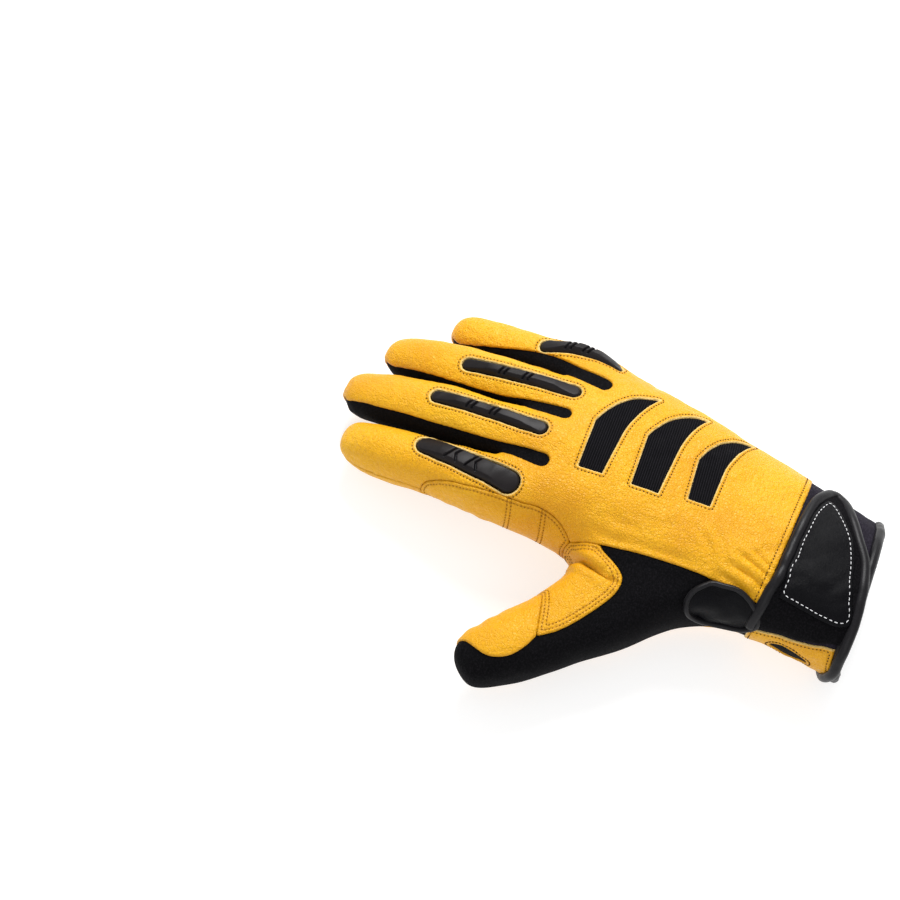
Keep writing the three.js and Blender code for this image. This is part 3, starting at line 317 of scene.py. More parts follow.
def tube_section(cage, centre, direction, half_width, half_height):
    along = unit(np.asarray(direction))
    across = unit(np.cross(along, (0, 0, 1)))
    up = np.cross(across, along)
    section = []
    for a, b in RING:
        corner = CORNER if a and b else 1
        section.append(cage.add(centre + across * a * half_width * corner + up * b * half_height * corner))
    return section


def add_tube(cage, start, sections, tip, area):
    previous = start
    for section in sections:
        for q in range(8):
            n = (q + 1) % 8
            cage.face((previous[q], previous[n], section[n], section[q]), RING_UPPER[q], area)
        previous = section
    for q in range(0, 8, 2):
        cage.face((previous[q], previous[q + 1], previous[(q + 2) % 8], tip), RING_UPPER[q], area)


def add_finger(cage, finger, index, crotch):
    top, bottom, middles = crotch["top"], crotch["bottom"], crotch["middles"]
    k = 2 * index
    start = [top[k + 1], top[k + 2], middles[index + 1], bottom[k + 2],
             bottom[k + 1], bottom[k], middles[index], top[k]]
    line = finger_line(finger)
    sections = []
    for along, size in FINGER_SECTIONS:
        half_width = quadratic(finger["widths"], along) * FINGER_WIDTH * WIDTH_FULLNESS * size
        half_height = quadratic(finger["heights"], along) * FINGER_HEIGHT * HEIGHT_FULLNESS * size
        place, slope = bezier(line, along), bezier_slope(line, along)
        sections.append(tube_section(cage, place, slope, half_width, half_height))
    add_tube(cage, start, sections, cage.add(line[2]), finger["name"])


def add_thumb(cage, rows):
    rear, middle, front = rows[THUMB_ROW:THUMB_ROW + 3]
    start = [middle["top"][0], front["top"][0], front["thumb_side"], front["bottom"][0],
             middle["bottom"][0], rear["bottom"][0], rear["thumb_side"], rear["top"][0]]
    places = [np.array(point["place"]) * THUMB_LENGTH for point in THUMB_POINTS]
    ends = [2 * places[0] - places[1], *places, 2 * places[-1] - places[-2]]
    steps = len(places) - 1
    sections = []
    for along, size in THUMB_SECTIONS:
        i = min(int(along * steps), steps - 1)
        t = along * steps - i
        centre, slope = cubic(*ends[i:i + 4], t)
        a, b = THUMB_POINTS[i], THUMB_POINTS[i + 1]
        half_width = (a["width"] + (b["width"] - a["width"]) * t) * THUMB_WIDTH * HEIGHT_FULLNESS * size
        half_height = (a["height"] + (b["height"] - a["height"]) * t) * THUMB_HEIGHT * HEIGHT_FULLNESS * size
        sections.append(tube_section(cage, centre, slope, half_width, half_height))
    add_tube(cage, start, sections, cage.add(places[-1]), "thumb")


def build_cage():
    cage = Cage()
    rows = [palm_row(cage, row) for row in PALM_ROWS]
    crotch = crotch_row(cage)
    rows.append(crotch)
    rings = [[*row["top"], row["outer_side"], *row["bottom"][::-1], row["thumb_side"]] for row in rows]
    around = len(rings[0])
    for j in range(len(rings) - 1):
        for k in range(around):
            if j in (THUMB_ROW, THUMB_ROW + 1) and k >= around - 2:
                continue
            n = (k + 1) % around
            corners = (rings[j][k], rings[j][n], rings[j + 1][n], rings[j + 1][k])
            cage.face(corners, k < 9 or k == around - 1, "palm")
    for index, finger in enumerate(FINGERS):
        add_finger(cage, finger, index, crotch)
    add_thumb(cage, rows)
    return cage


# The skin: the rounded cage, flattened where it rests, with the folds of worn leather


def rounded_cage():
    cage = build_cage()
    used = sorted({corner for quad in cage.quads for corner in quad})
    number = {old: new for new, old in enumerate(used)}
    mesh = bpy.data.meshes.new("cage")
    mesh.from_pydata([cage.points[i] for i in used], [], [[number[c] for c in quad] for quad in cage.quads])
    mesh.polygons.foreach_set("material_index", cage.labels)
    obj = bpy.data.objects.new("cage", mesh)
    bpy.context.scene.collection.objects.link(obj)
    rounding = obj.modifiers.new("rounding", "SUBSURF")
    rounding.levels = rounding.render_levels = SKIN_LEVELS
    result = obj.evaluated_get(bpy.context.evaluated_depsgraph_get()).to_mesh()
    points = np.empty(len(result.vertices) * 3)
    result.vertices.foreach_get("co", points)
    quads = np.empty(len(result.polygons) * 4, int)
    result.polygons.foreach_get("vertices", quads)
    labels = np.empty(len(result.polygons), int)
    result.polygons.foreach_get("material_index", labels)
    bpy.data.objects.remove(obj)
    bpy.data.meshes.remove(mesh)
    return points.reshape(-1, 3), quads.reshape(-1, 4), labels


def quad_normals(points, quads):
    a, b, c, d = (points[quads[:, k]] for k in range(4))
    face = np.cross(c - a, d - b)
    normals = np.zeros_like(points)
    for k in range(4):
        np.add.at(normals, quads[:, k], face)
    return unit(normals)


def waves(points, size, seed, count=24):
    """Smooth noise between about -1 and 1, from waves in random directions."""
    rng = np.random.default_rng(seed)
    total = np.zeros(len(points))
    for direction in unit(rng.normal(size=(count, 3))):
        length = size * rng.uniform(0.7, 1.6)
        total += np.sin(points @ direction * 2 * math.pi / length + rng.uniform(0, 2 * math.pi))
    return total / math.sqrt(count)


def line_distance(points, line):
    """Distance in plan from each point to a line."""
    best = np.full(len(points), np.inf)
    for a, b in zip(line[:-1], line[1:]):
        edge = b - a
        offset = points - a
        share = np.clip(offset @ edge / max(edge @ edge, 1e-9), 0, 1)
        best = np.minimum(best, np.linalg.norm(offset - share[:, None] * edge, axis=1))
    return best


skin_points, skin_quads, skin_labels = rounded_cage()
skin_normals = quad_normals(skin_points, skin_quads)
if (skin_normals[:, 2] * (skin_points[:, 2] - PALM_HEIGHT / 2)).mean() < 0:
    skin_quads = skin_quads[:, ::-1]
    skin_normals = -skin_normals
REST_HEIGHT = 1
REST_SOFTNESS = 1.2
height = skin_points[:, 2] - REST_HEIGHT
rested = REST_SOFTNESS * np.exp(np.minimum(height / REST_SOFTNESS - 1, 0))
skin_points[:, 2] = REST_HEIGHT + np.where(height > REST_SOFTNESS, height, rested)
BROAD_DENTS = ((34, 3, 0.45), (13, 5, 0.1575))
SMALL_DENT = 0.22
SIDE_RIDGE = 0.45
dents = sum(waves(skin_points, size, seed) * depth for size, seed, depth in BROAD_DENTS)
for fold in FOLDS:
    line = smooth_line(plan(fold["path"]), 16)
    away = line_distance(skin_points[:, :2], line)
    ends = np.minimum(*[np.linalg.norm(skin_points[:, :2] - end, axis=1) for end in (line[0], line[-1])])
    fade = smooth_step(-1, 4 * fold["width"], ends) * (skin_normals[:, 2] > 0)
    dents -= fold["depth"] * fade * np.exp(-(away / fold["width"]) ** 2)
    dents += fold["depth"] * SIDE_RIDGE * fade * np.exp(-((away - 2 * fold["width"]) / fold["width"]) ** 2)
small = waves(skin_points, 5.5, 21) * smooth_step(-0.2, 1.2, waves(skin_points, 40, 22))
dents += small * SMALL_DENT
skin_points += skin_normals * (dents * smooth_step(0.5, 8, skin_points[:, 2]))[:, None]
skin_normals = quad_normals(skin_points, skin_quads)
skin_tree = BVHTree.FromPolygons([Vector(p) for p in skin_points], skin_quads.tolist())

# Cutting pieces out of the skin. A patch is rows of place, normal and extra columns, with triangles.
SNAP = 0.06


def compact(data, triangles):
    used = np.unique(triangles)
    number = np.full(len(data), -1)
    number[used] = np.arange(len(used))
    return data[used], number[triangles]


class Crossings:
    """Rows of data on edges where values change sign, each made once."""

    def __init__(self, data, values):
        self.data, self.values = data, values
        self.rows, self.numbers = [], {}

    def number(self, a, b):
        """The number of the row between rows a and b, or None where the sign stays."""
        va, vb = self.values[a], self.values[b]
        if va * vb >= 0:
            return None
        key = (min(a, b), max(a, b))
        if key not in self.numbers:
            self.numbers[key] = len(self.rows)
            share = va / (va - vb)
            self.rows.append(self.data[a] * (1 - share) + self.data[b] * share)
        return self.numbers[key]


def sides(triangle):
    return zip(triangle, triangle[1:] + triangle[:1])


def cut(patch, values, keep_both=False):
    """Cuts the patch exactly where values are 0 and keeps what is below, or both sides."""
    data, triangles = patch
    values = np.where(np.abs(values) < SNAP, 0, values)
    corner = values[triangles]
    low, high = (corner < 0).any(1), (corner > 0).any(1)
    kept = triangles[~(low & high)] if keep_both else triangles[low & ~high]
    crossings, pieces = Crossings(data, values), []
    for triangle in triangles[low & high].tolist():
        below, above = [], []
        for a, b in sides(triangle):
            if values[a] <= 0:
                below.append(a)
            if values[a] >= 0:
                above.append(a)
            crossing = crossings.number(a, b)
            if crossing is not None:
                below.append(len(data) + crossing)
                above.append(len(data) + crossing)
        for ring in (below, above) if keep_both else (below,):
            pieces += [(ring[0], ring[k], ring[k + 1]) for k in range(1, len(ring) - 1)]
    if crossings.rows:
        data = np.vstack([data, crossings.rows])
    if pieces:
        kept = np.vstack([kept, np.array(pieces)])
    return compact(data, kept)


def all_edges(triangles):
    return np.vstack([triangles[:, [0, 1]], triangles[:, [1, 2]], triangles[:, [2, 0]]])


def refined(patch, fields, size=0.8, reach=0.8, rounds=3):
    """Halves edges that are longer than size near the places where the fields are 0."""
    data, triangles = patch
    for _ in range(rounds):
        near = np.min([np.abs(field(data)) for field in fields], axis=0) < reach
        edges = np.unique(np.sort(all_edges(triangles), axis=1), axis=0)
        lengths = np.linalg.norm(data[edges[:, 0], :3] - data[edges[:, 1], :3], axis=1)
        long = edges[near[edges].any(1) & (lengths > size)]
        middle = {(a, b): len(data) + k for k, (a, b) in enumerate(long.tolist())}
        added = len(data)
        data = np.vstack([data, (data[long[:, 0]] + data[long[:, 1]]) / 2])
        ordered = np.sort(np.stack([triangles, np.roll(triangles, -1, axis=1)], axis=2), axis=2)
        keys = ordered[:, :, 0] * added + ordered[:, :, 1]
        split = np.isin(keys, long[:, 0] * added + long[:, 1]).any(1)
        pieces = []
        for triangle in triangles[split].tolist():
            ring = []
            for a, b in sides(triangle):
                ring.append(a)
                extra = middle.get((min(a, b), max(a, b)))
                if extra is not None:
                    ring.append(extra)
            pieces += fan(ring, added)
        if pieces:
            triangles = np.vstack([triangles[~split], np.array(pieces)])
    return data, triangles


def fan(ring, added):
    """Triangles that fill a triangle. Numbers from added up are middles of its edges."""
    if len(ring) == 3:
        return [tuple(ring)]
    if len(ring) == 6:
        a, p, b, q, c, r = ring
        return [(a, p, r), (p, b, q), (q, c, r), (p, q, r)]
    while any(ring[k] < added for k in range(1, 2 * len(ring) - 6, 2)):
        ring = ring[1:] + ring[:1]
    if len(ring) == 5:
        a, p, b, q, c = ring
        return [(p, b, q), (a, p, c), (p, q, c)]
    a, p, b, c = ring
    return [(a, p, c), (p, b, c)]


def chains(pairs):
    """Turns pairs of linked numbers into lists of numbers, closed ones ending where they start."""
    links, seen, lines = {}, set(), []
    for pair in pairs:
        for here, there in (pair, pair[::-1]):
            links.setdefault(here, []).append(there)
    for start in [n for n in links if len(links[n]) == 1] + list(links):
        if start in seen:
            continue
        line = [start]
        seen.add(start)
        while True:
            following = [n for n in links[line[-1]] if n not in seen]
            if not following:
                break
            line.append(following[0])
            seen.add(following[0])
        if len(line) > 2 and line[0] in links[line[-1]]:
            line.append(line[0])
        if len(line) > 2:
            lines.append(line)
    return lines


def contours(patch, values):
    """Lines of data rows where values are 0."""
    data, triangles = patch
    values = np.where(np.abs(values) < 1e-6, 1e-6, values)
    corner = values[triangles]
    crossings, pairs = Crossings(data, values), []
    for triangle in triangles[(corner < 0).any(1) & (corner > 0).any(1)].tolist():
        ends = [crossings.number(a, b) for a, b in sides(triangle)]
        pairs.append([end for end in ends if end is not None])
    rows = np.array(crossings.rows)
    return [rows[line] for line in chains(pairs)]


def rim_edges(triangles):
    edges = all_edges(triangles)
    ordered = np.sort(edges, axis=1)
    _, first, count = np.unique(ordered, axis=0, return_index=True, return_counts=True)
    return edges[first[count == 1]]


def rim_lines(patch):
    data, triangles = patch
    return [data[line] for line in chains(rim_edges(triangles).tolist())]


def spaced(line, step):
    """Rows at equal steps along a line of rows."""
    lengths = np.r_[0, np.cumsum(np.linalg.norm(np.diff(line[:, :3], axis=0), axis=1))]
    count = max(int(round(lengths[-1] / step)), 1)
    at = (np.arange(count + 1)) * lengths[-1] / count
    return np.stack([np.interp(at, lengths, column) for column in line.T], axis=1)


def distance_to(points, lines):
    """Distance from each point to the nearest of the lines."""
    near = np.vstack([spaced(line[:, :3], 0.25) for line in lines])
    tree = KDTree(len(near))
    for i, place in enumerate(near):
        tree.insert(place, i)
    tree.balance()
    return np.array([tree.find(point)[2] for point in points[:, :3]])


def outline_distance(points, outline):
    """Signed distance in plan to a closed outline, below 0 inside."""
    closed = np.vstack([outline, outline[:1]])
    inside = np.zeros(len(points), bool)
    for (ax, ay), (bx, by) in zip(closed[:-1], closed[1:]):
        crosses = (ay > points[:, 1]) != (by > points[:, 1])
        rise = by - ay if by != ay else 1e-9
        inside ^= crosses & (points[:, 0] < ax + (points[:, 1] - ay) * (bx - ax) / rise)
    away = line_distance(points, closed)
    return np.where(inside, -away, away)


def in_plan(outline):
    return lambda data: outline_distance(data[:, :2], outline)


def in_side(outline):
    return lambda data: outline_distance(data[:, 1:3], outline)


def skin_patch(chosen):
    """The triangles of the chosen faces of the skin, with places and normals."""
    quads = skin_quads[chosen]
    triangles = np.vstack([quads[:, [0, 1, 2]], quads[:, [0, 2, 3]]])
    return compact(np.hstack([skin_points, skin_normals]), triangles)


# Outlines

back_seam = smooth_line(plan(BACK_SEAM))
web_seam = smooth_line(plan(WEB_SEAM))
thumb_seam = smooth_line(plan(THUMB_SEAM))
side_seam = smooth_line(plan(SIDE_SEAM))
palm_seam = smooth_line(plan(PALM_SEAM))
web_corner, side_corner, crease_foot = plan(WEB_CORNER), plan(SIDE_CORNER), plan(THUMB_CREASE)
wrist_y = WRIST_LINE * PALM_LENGTH
junction = int(np.argmax(back_seam[:, 1] <= web_seam[0, 1] + 0.3))


def joined(*parts):
    return np.vstack([np.atleast_2d(part) for part in parts])


back_outline = joined(back_seam, (FAR, wrist_y), (FAR, FAR), (side_corner[0], FAR),
                      (side_corner[0], side_seam[0, 1]), side_seam[:-1])
side_outline = joined(side_seam, web_corner, side_corner, (side_corner[0], side_seam[0, 1]))
web_outline = joined(back_seam[:junction], web_seam, crease_foot, (crease_foot[0], FAR),
                     (side_corner[0], FAR), side_corner, web_corner)
tip_outline = joined(thumb_seam, (thumb_seam[-1, 0], FAR), (crease_foot[0], FAR), crease_foot)
thumb_outline = joined(web_seam[0], back_seam[junction:], (-FAR, wrist_y), (-FAR, FAR),
                       (thumb_seam[-1, 0], FAR), thumb_seam[::-1], web_seam[-2:0:-1])
patch_outline, palm_outline = [
    joined(palm_seam, (far, wrist_y), (far, FAR), (side_corner[0], FAR), side_corner, web_corner)
    for far in (-FAR, FAR)]


def finger_edge(finger, y, hand):
    line = finger_line(finger)
    along = min(max((y - line[0][1]) / (line[2][1] - line[0][1]), 0), 1)
    return bezier(line, along)[0] + hand * quadratic(finger["widths"], along) * FINGER_WIDTH


def slot_outline(index, stations=32):
    slot = SLOTS[index]
    round_end = slot["widths"][0] * SLOT_WIDTH / 2
    start = slot["end"] * PALM_LENGTH + round_end
    end = max(finger_line(finger)[2][1] for finger in FINGERS) + FINGER_WIDTH / 2
    left, right = [], []
    for k in range(stations + 1):
        share = k / stations
        y = start + (end - start) * share
        between = (finger_edge(FINGERS[index], y, 1) + finger_edge(FINGERS[index + 1], y, -1)) / 2
        x = between + catmull_rom(slot["shifts"], share) * PALM_WIDTH
        half = catmull_rom(slot["widths"], share) * SLOT_WIDTH / 2
        left.append((x - half, y))
        right.append((x + half, y))
    centre = (left[0][0] + right[0][0]) / 2
    angles = np.linspace(math.pi, 2 * math.pi, 12)[1:-1]
    end_curve = [(centre + math.cos(a) * round_end, start + math.sin(a) * round_end) for a in angles]
    return joined(end_curve, right, left[::-1])


def vent_outline(vent):
    end, elbow, tip = plan(vent["end"]), plan(vent["elbow"]), plan(vent["tip"])
    upper = tip - elbow
    across = unit(np.array((-upper[1], upper[0])))
    middle = 0.4 * elbow + 0.6 * tip
    steps = np.linspace(0, 1, 21)[:, None]
    outer = bezier((elbow, middle + across * VENT_BULGE * PALM_WIDTH, tip), steps)
    leg = unit(elbow - end)
    inward = np.array((leg[1], -leg[0])) * VENT_WIDTH * vent["width"]
    inner_elbow = elbow + inward * VENT_FLARE + leg * VENT_WIDTH * VENT_ELBOW_SHIFT
    control = (inner_elbow + tip) / 2 + across * VENT_INNER_BULGE * PALM_WIDTH
    inner = bezier((tip, control, inner_elbow), steps)[1:]
    return joined(end, outer, inner, end + inward)


def pad_outline(pad, steps=16):
    """The pad's rim in places across it and along it, from the middle of its heel."""
    wide = PAD_WIDTH * pad["width"] / 2
    narrow = wide * PAD_TAPER
    length = PAD_LENGTH * pad["length"]
    outline = []
    for half, along, first in ((wide, wide, math.pi), (narrow, length - narrow, 0)):
        for angle in np.linspace(first, first + math.pi, steps + 1):
            outline.append((math.cos(angle) * half, along + math.sin(angle) * half))
    return np.array(outline)


slot_outlines = [slot_outline(index) for index in range(3)]
vent_outlines = [vent_outline(vent) for vent in VENTS]
pad_outlines = [pad_outline(pad) for pad in PADS]
strap_plan = in_plan(joined(smooth_line(plan(STRAP_FRONT)), smooth_line(plan(STRAP_REAR))))
gusset_line = side(GUSSET_LINE)
gusset_edge = in_side(joined(gusset_line, (gusset_line[-1, 0], -FAR), (gusset_line[0, 0], -FAR)))


CUFF_CUT_BACK = 3


def cuff_end_distance(data):
    """How far each point is in front of the slanted line where the cuff ends."""
    row = PALM_ROWS[0]
    centre = (row["thumb_x"] + row["outer_x"]) / 2 * PALM_WIDTH
    cut_back = CUFF_CUT_BACK * np.maximum(smooth_step(0.3, 0.8, data[:, 2] / PALM_HEIGHT),
                                          smooth_step(-0.1, 0.25, data[:, 0] / PALM_WIDTH))
    return data[:, 1] - row["y"] * PALM_LENGTH + CUFF_SLANT * row["y"] * (data[:, 0] - centre) - cut_back


# Materials


def add_node(tree, kind, inputs=None, **settings):
    node = tree.nodes.new(kind)
    for key, value in settings.items():
        setattr(node, key, value)
    for key, value in (inputs or {}).items():
        if isinstance(value, bpy.types.NodeSocket):
            tree.links.new(value, node.inputs[key])
        else:
            node.inputs[key].default_value = value
    return node


def ramp(tree, factor, stops):
    node = add_node(tree, "ShaderNodeValToRGB", {"Fac": factor})
    elements = node.color_ramp.elements
    while len(elements) < len(stops):
        elements.new(0.5)
    for element, (place, colour) in zip(elements, stops):
        element.position = place
        element.color = (*colour, 1)
    return node.outputs["Color"]


def fade(tree, factor, low, high):
    """A gray that goes from one share to another. low and high hold the factor and the share."""
    return ramp(tree, factor, [(place, (share, share, share)) for place, share in (low, high)])


def mix(tree, factor, first, second, blend="MIX"):
    first, second = [(*value, 1) if isinstance(value, tuple) else value for value in (first, second)]
    inputs = {"Factor": factor, 6: first, 7: second}
    return add_node(tree, "ShaderNodeMix", inputs, data_type="RGBA", blend_type=blend).outputs[2]


def noise(tree, place, scale, detail=3, roughness=0.55):
    inputs = {"Vector": place, "Scale": scale, "Detail": detail, "Roughness": roughness}
    return add_node(tree, "ShaderNodeTexNoise", inputs).outputs["Fac"]


def attribute(tree, name):
    return add_node(tree, "ShaderNodeAttribute", attribute_name=name).outputs["Fac"]


def bump(tree, height, strength, distance, normal=None):
    inputs = {"Height": height, "Strength": strength, "Distance": distance}
    if normal:
        inputs["Normal"] = normal
    return add_node(tree, "ShaderNodeBump", inputs).outputs["Normal"]


def new_material(name, roughness, specular, sheen=0.0):
    material = bpy.data.materials.new(name)
    material.use_nodes = True
    tree = material.node_tree
    shader = tree.nodes["Principled BSDF"]
    shader.inputs["Roughness"].default_value = roughness
    shader.inputs["Specular IOR Level"].default_value = specular
    shader.inputs["Sheen Weight"].default_value = sheen
    place = add_node(tree, "ShaderNodeTexCoord").outputs["Object"]
    return material, tree, shader, place


def finish_material(tree, shader, colour, normal=None, roughness=None):
    for value, key in ((colour, "Base Color"), (normal, "Normal"), (roughness, "Roughness")):
        if value:
            tree.links.new(value, shader.inputs[key])


YELLOW = (0.74, 0.36, 0.002)
YELLOW_PALE = (0.8, 0.42, 0.006)
YELLOW_DEEP = (0.66, 0.29, 0.001)
CREAM = (0.78, 0.56, 0.2)
# The brown below is painted shade, used near rims and in stitch grooves
PAINTED_SHADE_BROWN = (0.30, 0.11, 0.004)


def leather_material():
    material, tree, shader, place = new_material("yellow_leather", 0.4, specular=0.28)
    broad = noise(tree, place, 22, 2)
    patchy = noise(tree, place, 95, 4)
    fine = noise(tree, place, 900, 2, 0.6)
    colour = ramp(tree, broad, ((0.3, YELLOW_DEEP), (0.52, YELLOW), (0.75, YELLOW_PALE)))
    colour = mix(tree, fade(tree, patchy, (0.4, 0), (0.8, 0.35)), colour, YELLOW_PALE)
    colour = mix(tree, fade(tree, fine, (0.3, 0.5), (0.5, 0)), colour, YELLOW_DEEP)
    colour = mix(tree, fade(tree, fine, (0.52, 0), (0.7, 0.45)), colour, YELLOW_PALE)
    # Painted shade: the shade attribute darkens the leather towards brown near rims and in stitch grooves
    colour = mix(tree, attribute(tree, "shade"), colour, PAINTED_SHADE_BROWN)
    colour = mix(tree, attribute(tree, "pale"), colour, CREAM)
    bent = add_node(tree, "ShaderNodeTexNoise", {"Vector": place, "Scale": 200.0, "Detail": 2.0})
    warped = mix(tree, 0.0015, place, bent.outputs["Color"], "ADD")
    inputs = {"Vector": warped, "Scale": 850}
    cells = add_node(tree, "ShaderNodeTexVoronoi", inputs, feature="DISTANCE_TO_EDGE")
    grain = bump(tree, fade(tree, cells.outputs["Distance"], (0, 0), (0.22, 1)), 0.6, 0.00025)
    worn = fade(tree, broad, (0.35, 0.25), (0.65, 0.75))
    crumple = bump(tree, noise(tree, warped, 480, 2, 0.6), worn, 0.0011, grain)
    finish_material(tree, shader, colour, crumple, fade(tree, fine, (0.2, 0.55), (0.8, 0.36)))
    return material


def cloth_material(name, dark, light, weave, roughness=0.85):
    material, tree, shader, place = new_material(name, roughness, specular=0.08, sheen=0.004)
    specks = noise(tree, place, weave, 2, 0.7)
    colour = ramp(tree, specks, ((0.45, dark), (0.8, light)))
    threads = bump(tree, noise(tree, place, weave * 1.3, 2), 0.6, 0.0003)
    lumps = bump(tree, noise(tree, place, 180, 3), 0.25, 0.0008, threads)
    finish_material(tree, shader, colour, lumps)
    return material


def rib_material():
    material, tree, shader, place = new_material("ribbed_knit", 0.9, specular=0.06, sheen=0.01)
    turn = {0: attribute(tree, "rib"), 1: 2 * math.pi}
    across = add_node(tree, "ShaderNodeMath", turn, operation="MULTIPLY")
    wave = add_node(tree, "ShaderNodeMath", {0: across.outputs[0]}, operation="SINE")
    share = add_node(tree, "ShaderNodeMapRange", {"Value": wave.outputs[0], "From Min": -1.0})
    specks = noise(tree, place, 1800, 2)
    # Painted light: the knit is darker in the troughs between ribs and lighter on their crests, following
    # the ribs' bump
    colour = ramp(tree, share.outputs[0], ((0.3, (0.001, 0.001, 0.002)), (0.95, (0.018, 0.016, 0.021))))
    colour = mix(tree, specks, colour, (0.005, 0.005, 0.006))
    ribs = bump(tree, share.outputs[0], 0.9, 0.0006)
    loops = bump(tree, specks, 0.5, 0.0003, ribs)
    finish_material(tree, shader, colour, loops)
    return material


def rubber_material():
    material, tree, shader, place = new_material("moulded_rubber", 0.42, specular=0.16)
    dust = noise(tree, place, 120, 4)
    colour = ramp(tree, dust, ((0.3, (0.007, 0.0055, 0.006)), (0.7, (0.012, 0.0095, 0.010))))
    # Painted shade: the shade attribute darkens the rubber at the pad rims and in the slashes
    colour = mix(tree, attribute(tree, "shade"), colour, (0.006, 0.006, 0.008))
    pebble = bump(tree, noise(tree, place, 1600, 2), 0.12, 0.0002)
    finish_material(tree, shader, colour, pebble)
    return material


def piping_material():
    material, tree, shader, place = new_material("dark_piping", 0.4, specular=0.2, sheen=0.02)
    threads = noise(tree, place, 1500, 2)
    colour = ramp(tree, threads, ((0.3, (0.003, 0.003, 0.004)), (0.7, (0.008, 0.007, 0.009))))
    finish_material(tree, shader, colour, bump(tree, threads, 0.3, 0.0002))
    return material


def thread_material(name, colour, lit):
    material, tree, shader, place = new_material(name, 0.6, specular=0.15)
    twist = noise(tree, place, 2600, 1)
    finish_material(tree, shader, ramp(tree, twist, ((0.3, colour), (0.7, lit))))
    return material


LEATHER = leather_material()
STRETCH = cloth_material("stretch_fabric", (0.001, 0.001, 0.0015), (0.009, 0.008, 0.010), 1500)
INNER = cloth_material("inner_fabric", (0.012, 0.010, 0.016), (0.034, 0.029, 0.042), 1100)
SMOOTH, GLOSSY = [cloth_material(name, (0.001, 0.001, 0.002), (0.004, 0.004, 0.005), 2600, roughness)
                  for name, roughness in (("smooth_fabric", 0.4), ("glossy_fabric", 0.22))]
RIBBED = rib_material()
RUBBER = rubber_material()
PIPING = piping_material()
BROWN_THREAD = thread_material("brown_thread", (0.045, 0.018, 0.003), (0.12, 0.05, 0.006))
AMBER_THREAD = thread_material("amber_thread", (0.22, 0.085, 0.004), (0.42, 0.19, 0.01))
WHITE_THREAD = thread_material("white_thread", (0.6, 0.6, 0.62), (0.9, 0.9, 0.9))

# Meshes


FLOOR_GAP = 0.05


def add_piece(name, points, faces, material, attributes=None, in_cad=True):
    mesh = bpy.data.meshes.new(name)
    points = np.asarray(points, float)
    points[:, 2] = np.maximum(points[:, 2], FLOOR_GAP)
    mesh.from_pydata((points * MM).tolist(), [], [list(map(int, face)) for face in faces])
    mesh.materials.append(material)
    mesh.polygons.foreach_set("use_smooth", [True] * len(mesh.polygons))
    for key, values in (attributes or {}).items():
        mesh.attributes.new(key, "FLOAT", "POINT").data.foreach_set("value", np.asarray(values, float))
    obj = bpy.data.objects.new(name, mesh)
    bpy.context.scene.collection.objects.link(obj)
    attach(obj, "root")
    if in_cad:
        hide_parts(name)


def shell(name, patch, height, depth, material, attributes=None):
    """A closed wall over a patch, from depth below the skin to a height above it."""
    data, triangles = patch
    places, normals = data[:, :3], data[:, 3:6]
    count = len(places)
    outer = places + normals * np.broadcast_to(height, count)[:, None]
    inner = places - normals * depth
    a, b = rim_edges(triangles).T
    faces = [*triangles.tolist(), *(triangles[:, ::-1] + count).tolist()]
    faces += np.stack([b, a, a + count, b + count], axis=1).tolist()
    doubled = {key: np.r_[values, values] for key, values in (attributes or {}).items()}
    add_piece(name, np.vstack([outer, inner]), faces, material, doubled)


def with_rims(patch, levels):
    """Adds a column with each point's distance to the patch's rim, and lines of points along levels."""
    data, triangles = patch
    data = np.hstack([data, distance_to(data, rim_lines(patch))[:, None]])
    patch = (data, triangles)
    for level in levels:
        patch = cut(patch, patch[0][:, 6] - level, keep_both=True)
    return patch


def round_rim(distance, height, radius, foot=0.0):
    share = np.clip(1 - distance / radius, 0, 1)
    return foot + (height - foot) * np.sqrt(1 - share ** 2)


CAPSULE_AROUND = 6
CAPSULE_DIP = 0.3
CAPSULE_RINGS = ((-1, 0.35), (-0.72, 0.85), (0, 1), (0.72, 0.85), (1, 0.35))


def oval(across, up, width, height, around):
    """Places round an oval, from its middle, counted from across towards up."""
    angles = np.linspace(0, 2 * math.pi, around, endpoint=False)[:, None]
    return (across[..., None, :] * np.cos(angles) * width + up[..., None, :] * np.sin(angles) * height) / 2


def ring_faces(rings, around, closed=False, first=0):
    """Faces between rings of points that follow each other, with an end face on each end unless closed."""
    faces = []
    for i in range(rings if closed else rings - 1):
        low, high = first + i * around, first + (i + 1) % rings * around
        for k in range(around):
            m = (k + 1) % around
            faces.append((low + k, low + m, high + m, high + k))
    if not closed:
        last = first + (rings - 1) * around
        faces += [tuple(range(first, first + around))[::-1], tuple(range(last, last + around))]
    return faces


def stitches(name, lines, material, slot, pitch=1.5, length=0.7, thickness=0.56, lift=0.0):
    """Small thread capsules along lines of rows, lying on the surface."""
    points, faces = [], []
    for line in lines:
        rows = spaced(line, pitch)
        if len(rows) < 3:
            continue
        tangent = unit(np.gradient(rows[:, :3], axis=0))
        normal = unit(rows[:, 3:6])
        across = unit(np.cross(normal, tangent))
        for place, t, n, s in zip(rows[:, :3], tangent, normal, across):
            faces += ring_faces(len(CAPSULE_RINGS), CAPSULE_AROUND, first=len(points))
            for along, share in CAPSULE_RINGS:
                centre = place + t * along * length / 2 + n * (lift - CAPSULE_DIP * thickness * along ** 2)
                width = share * thickness
                points.extend(centre + oval(s, n, width, width, CAPSULE_AROUND))
    if points:
        add_piece(name, points, faces, material, in_cad=False)


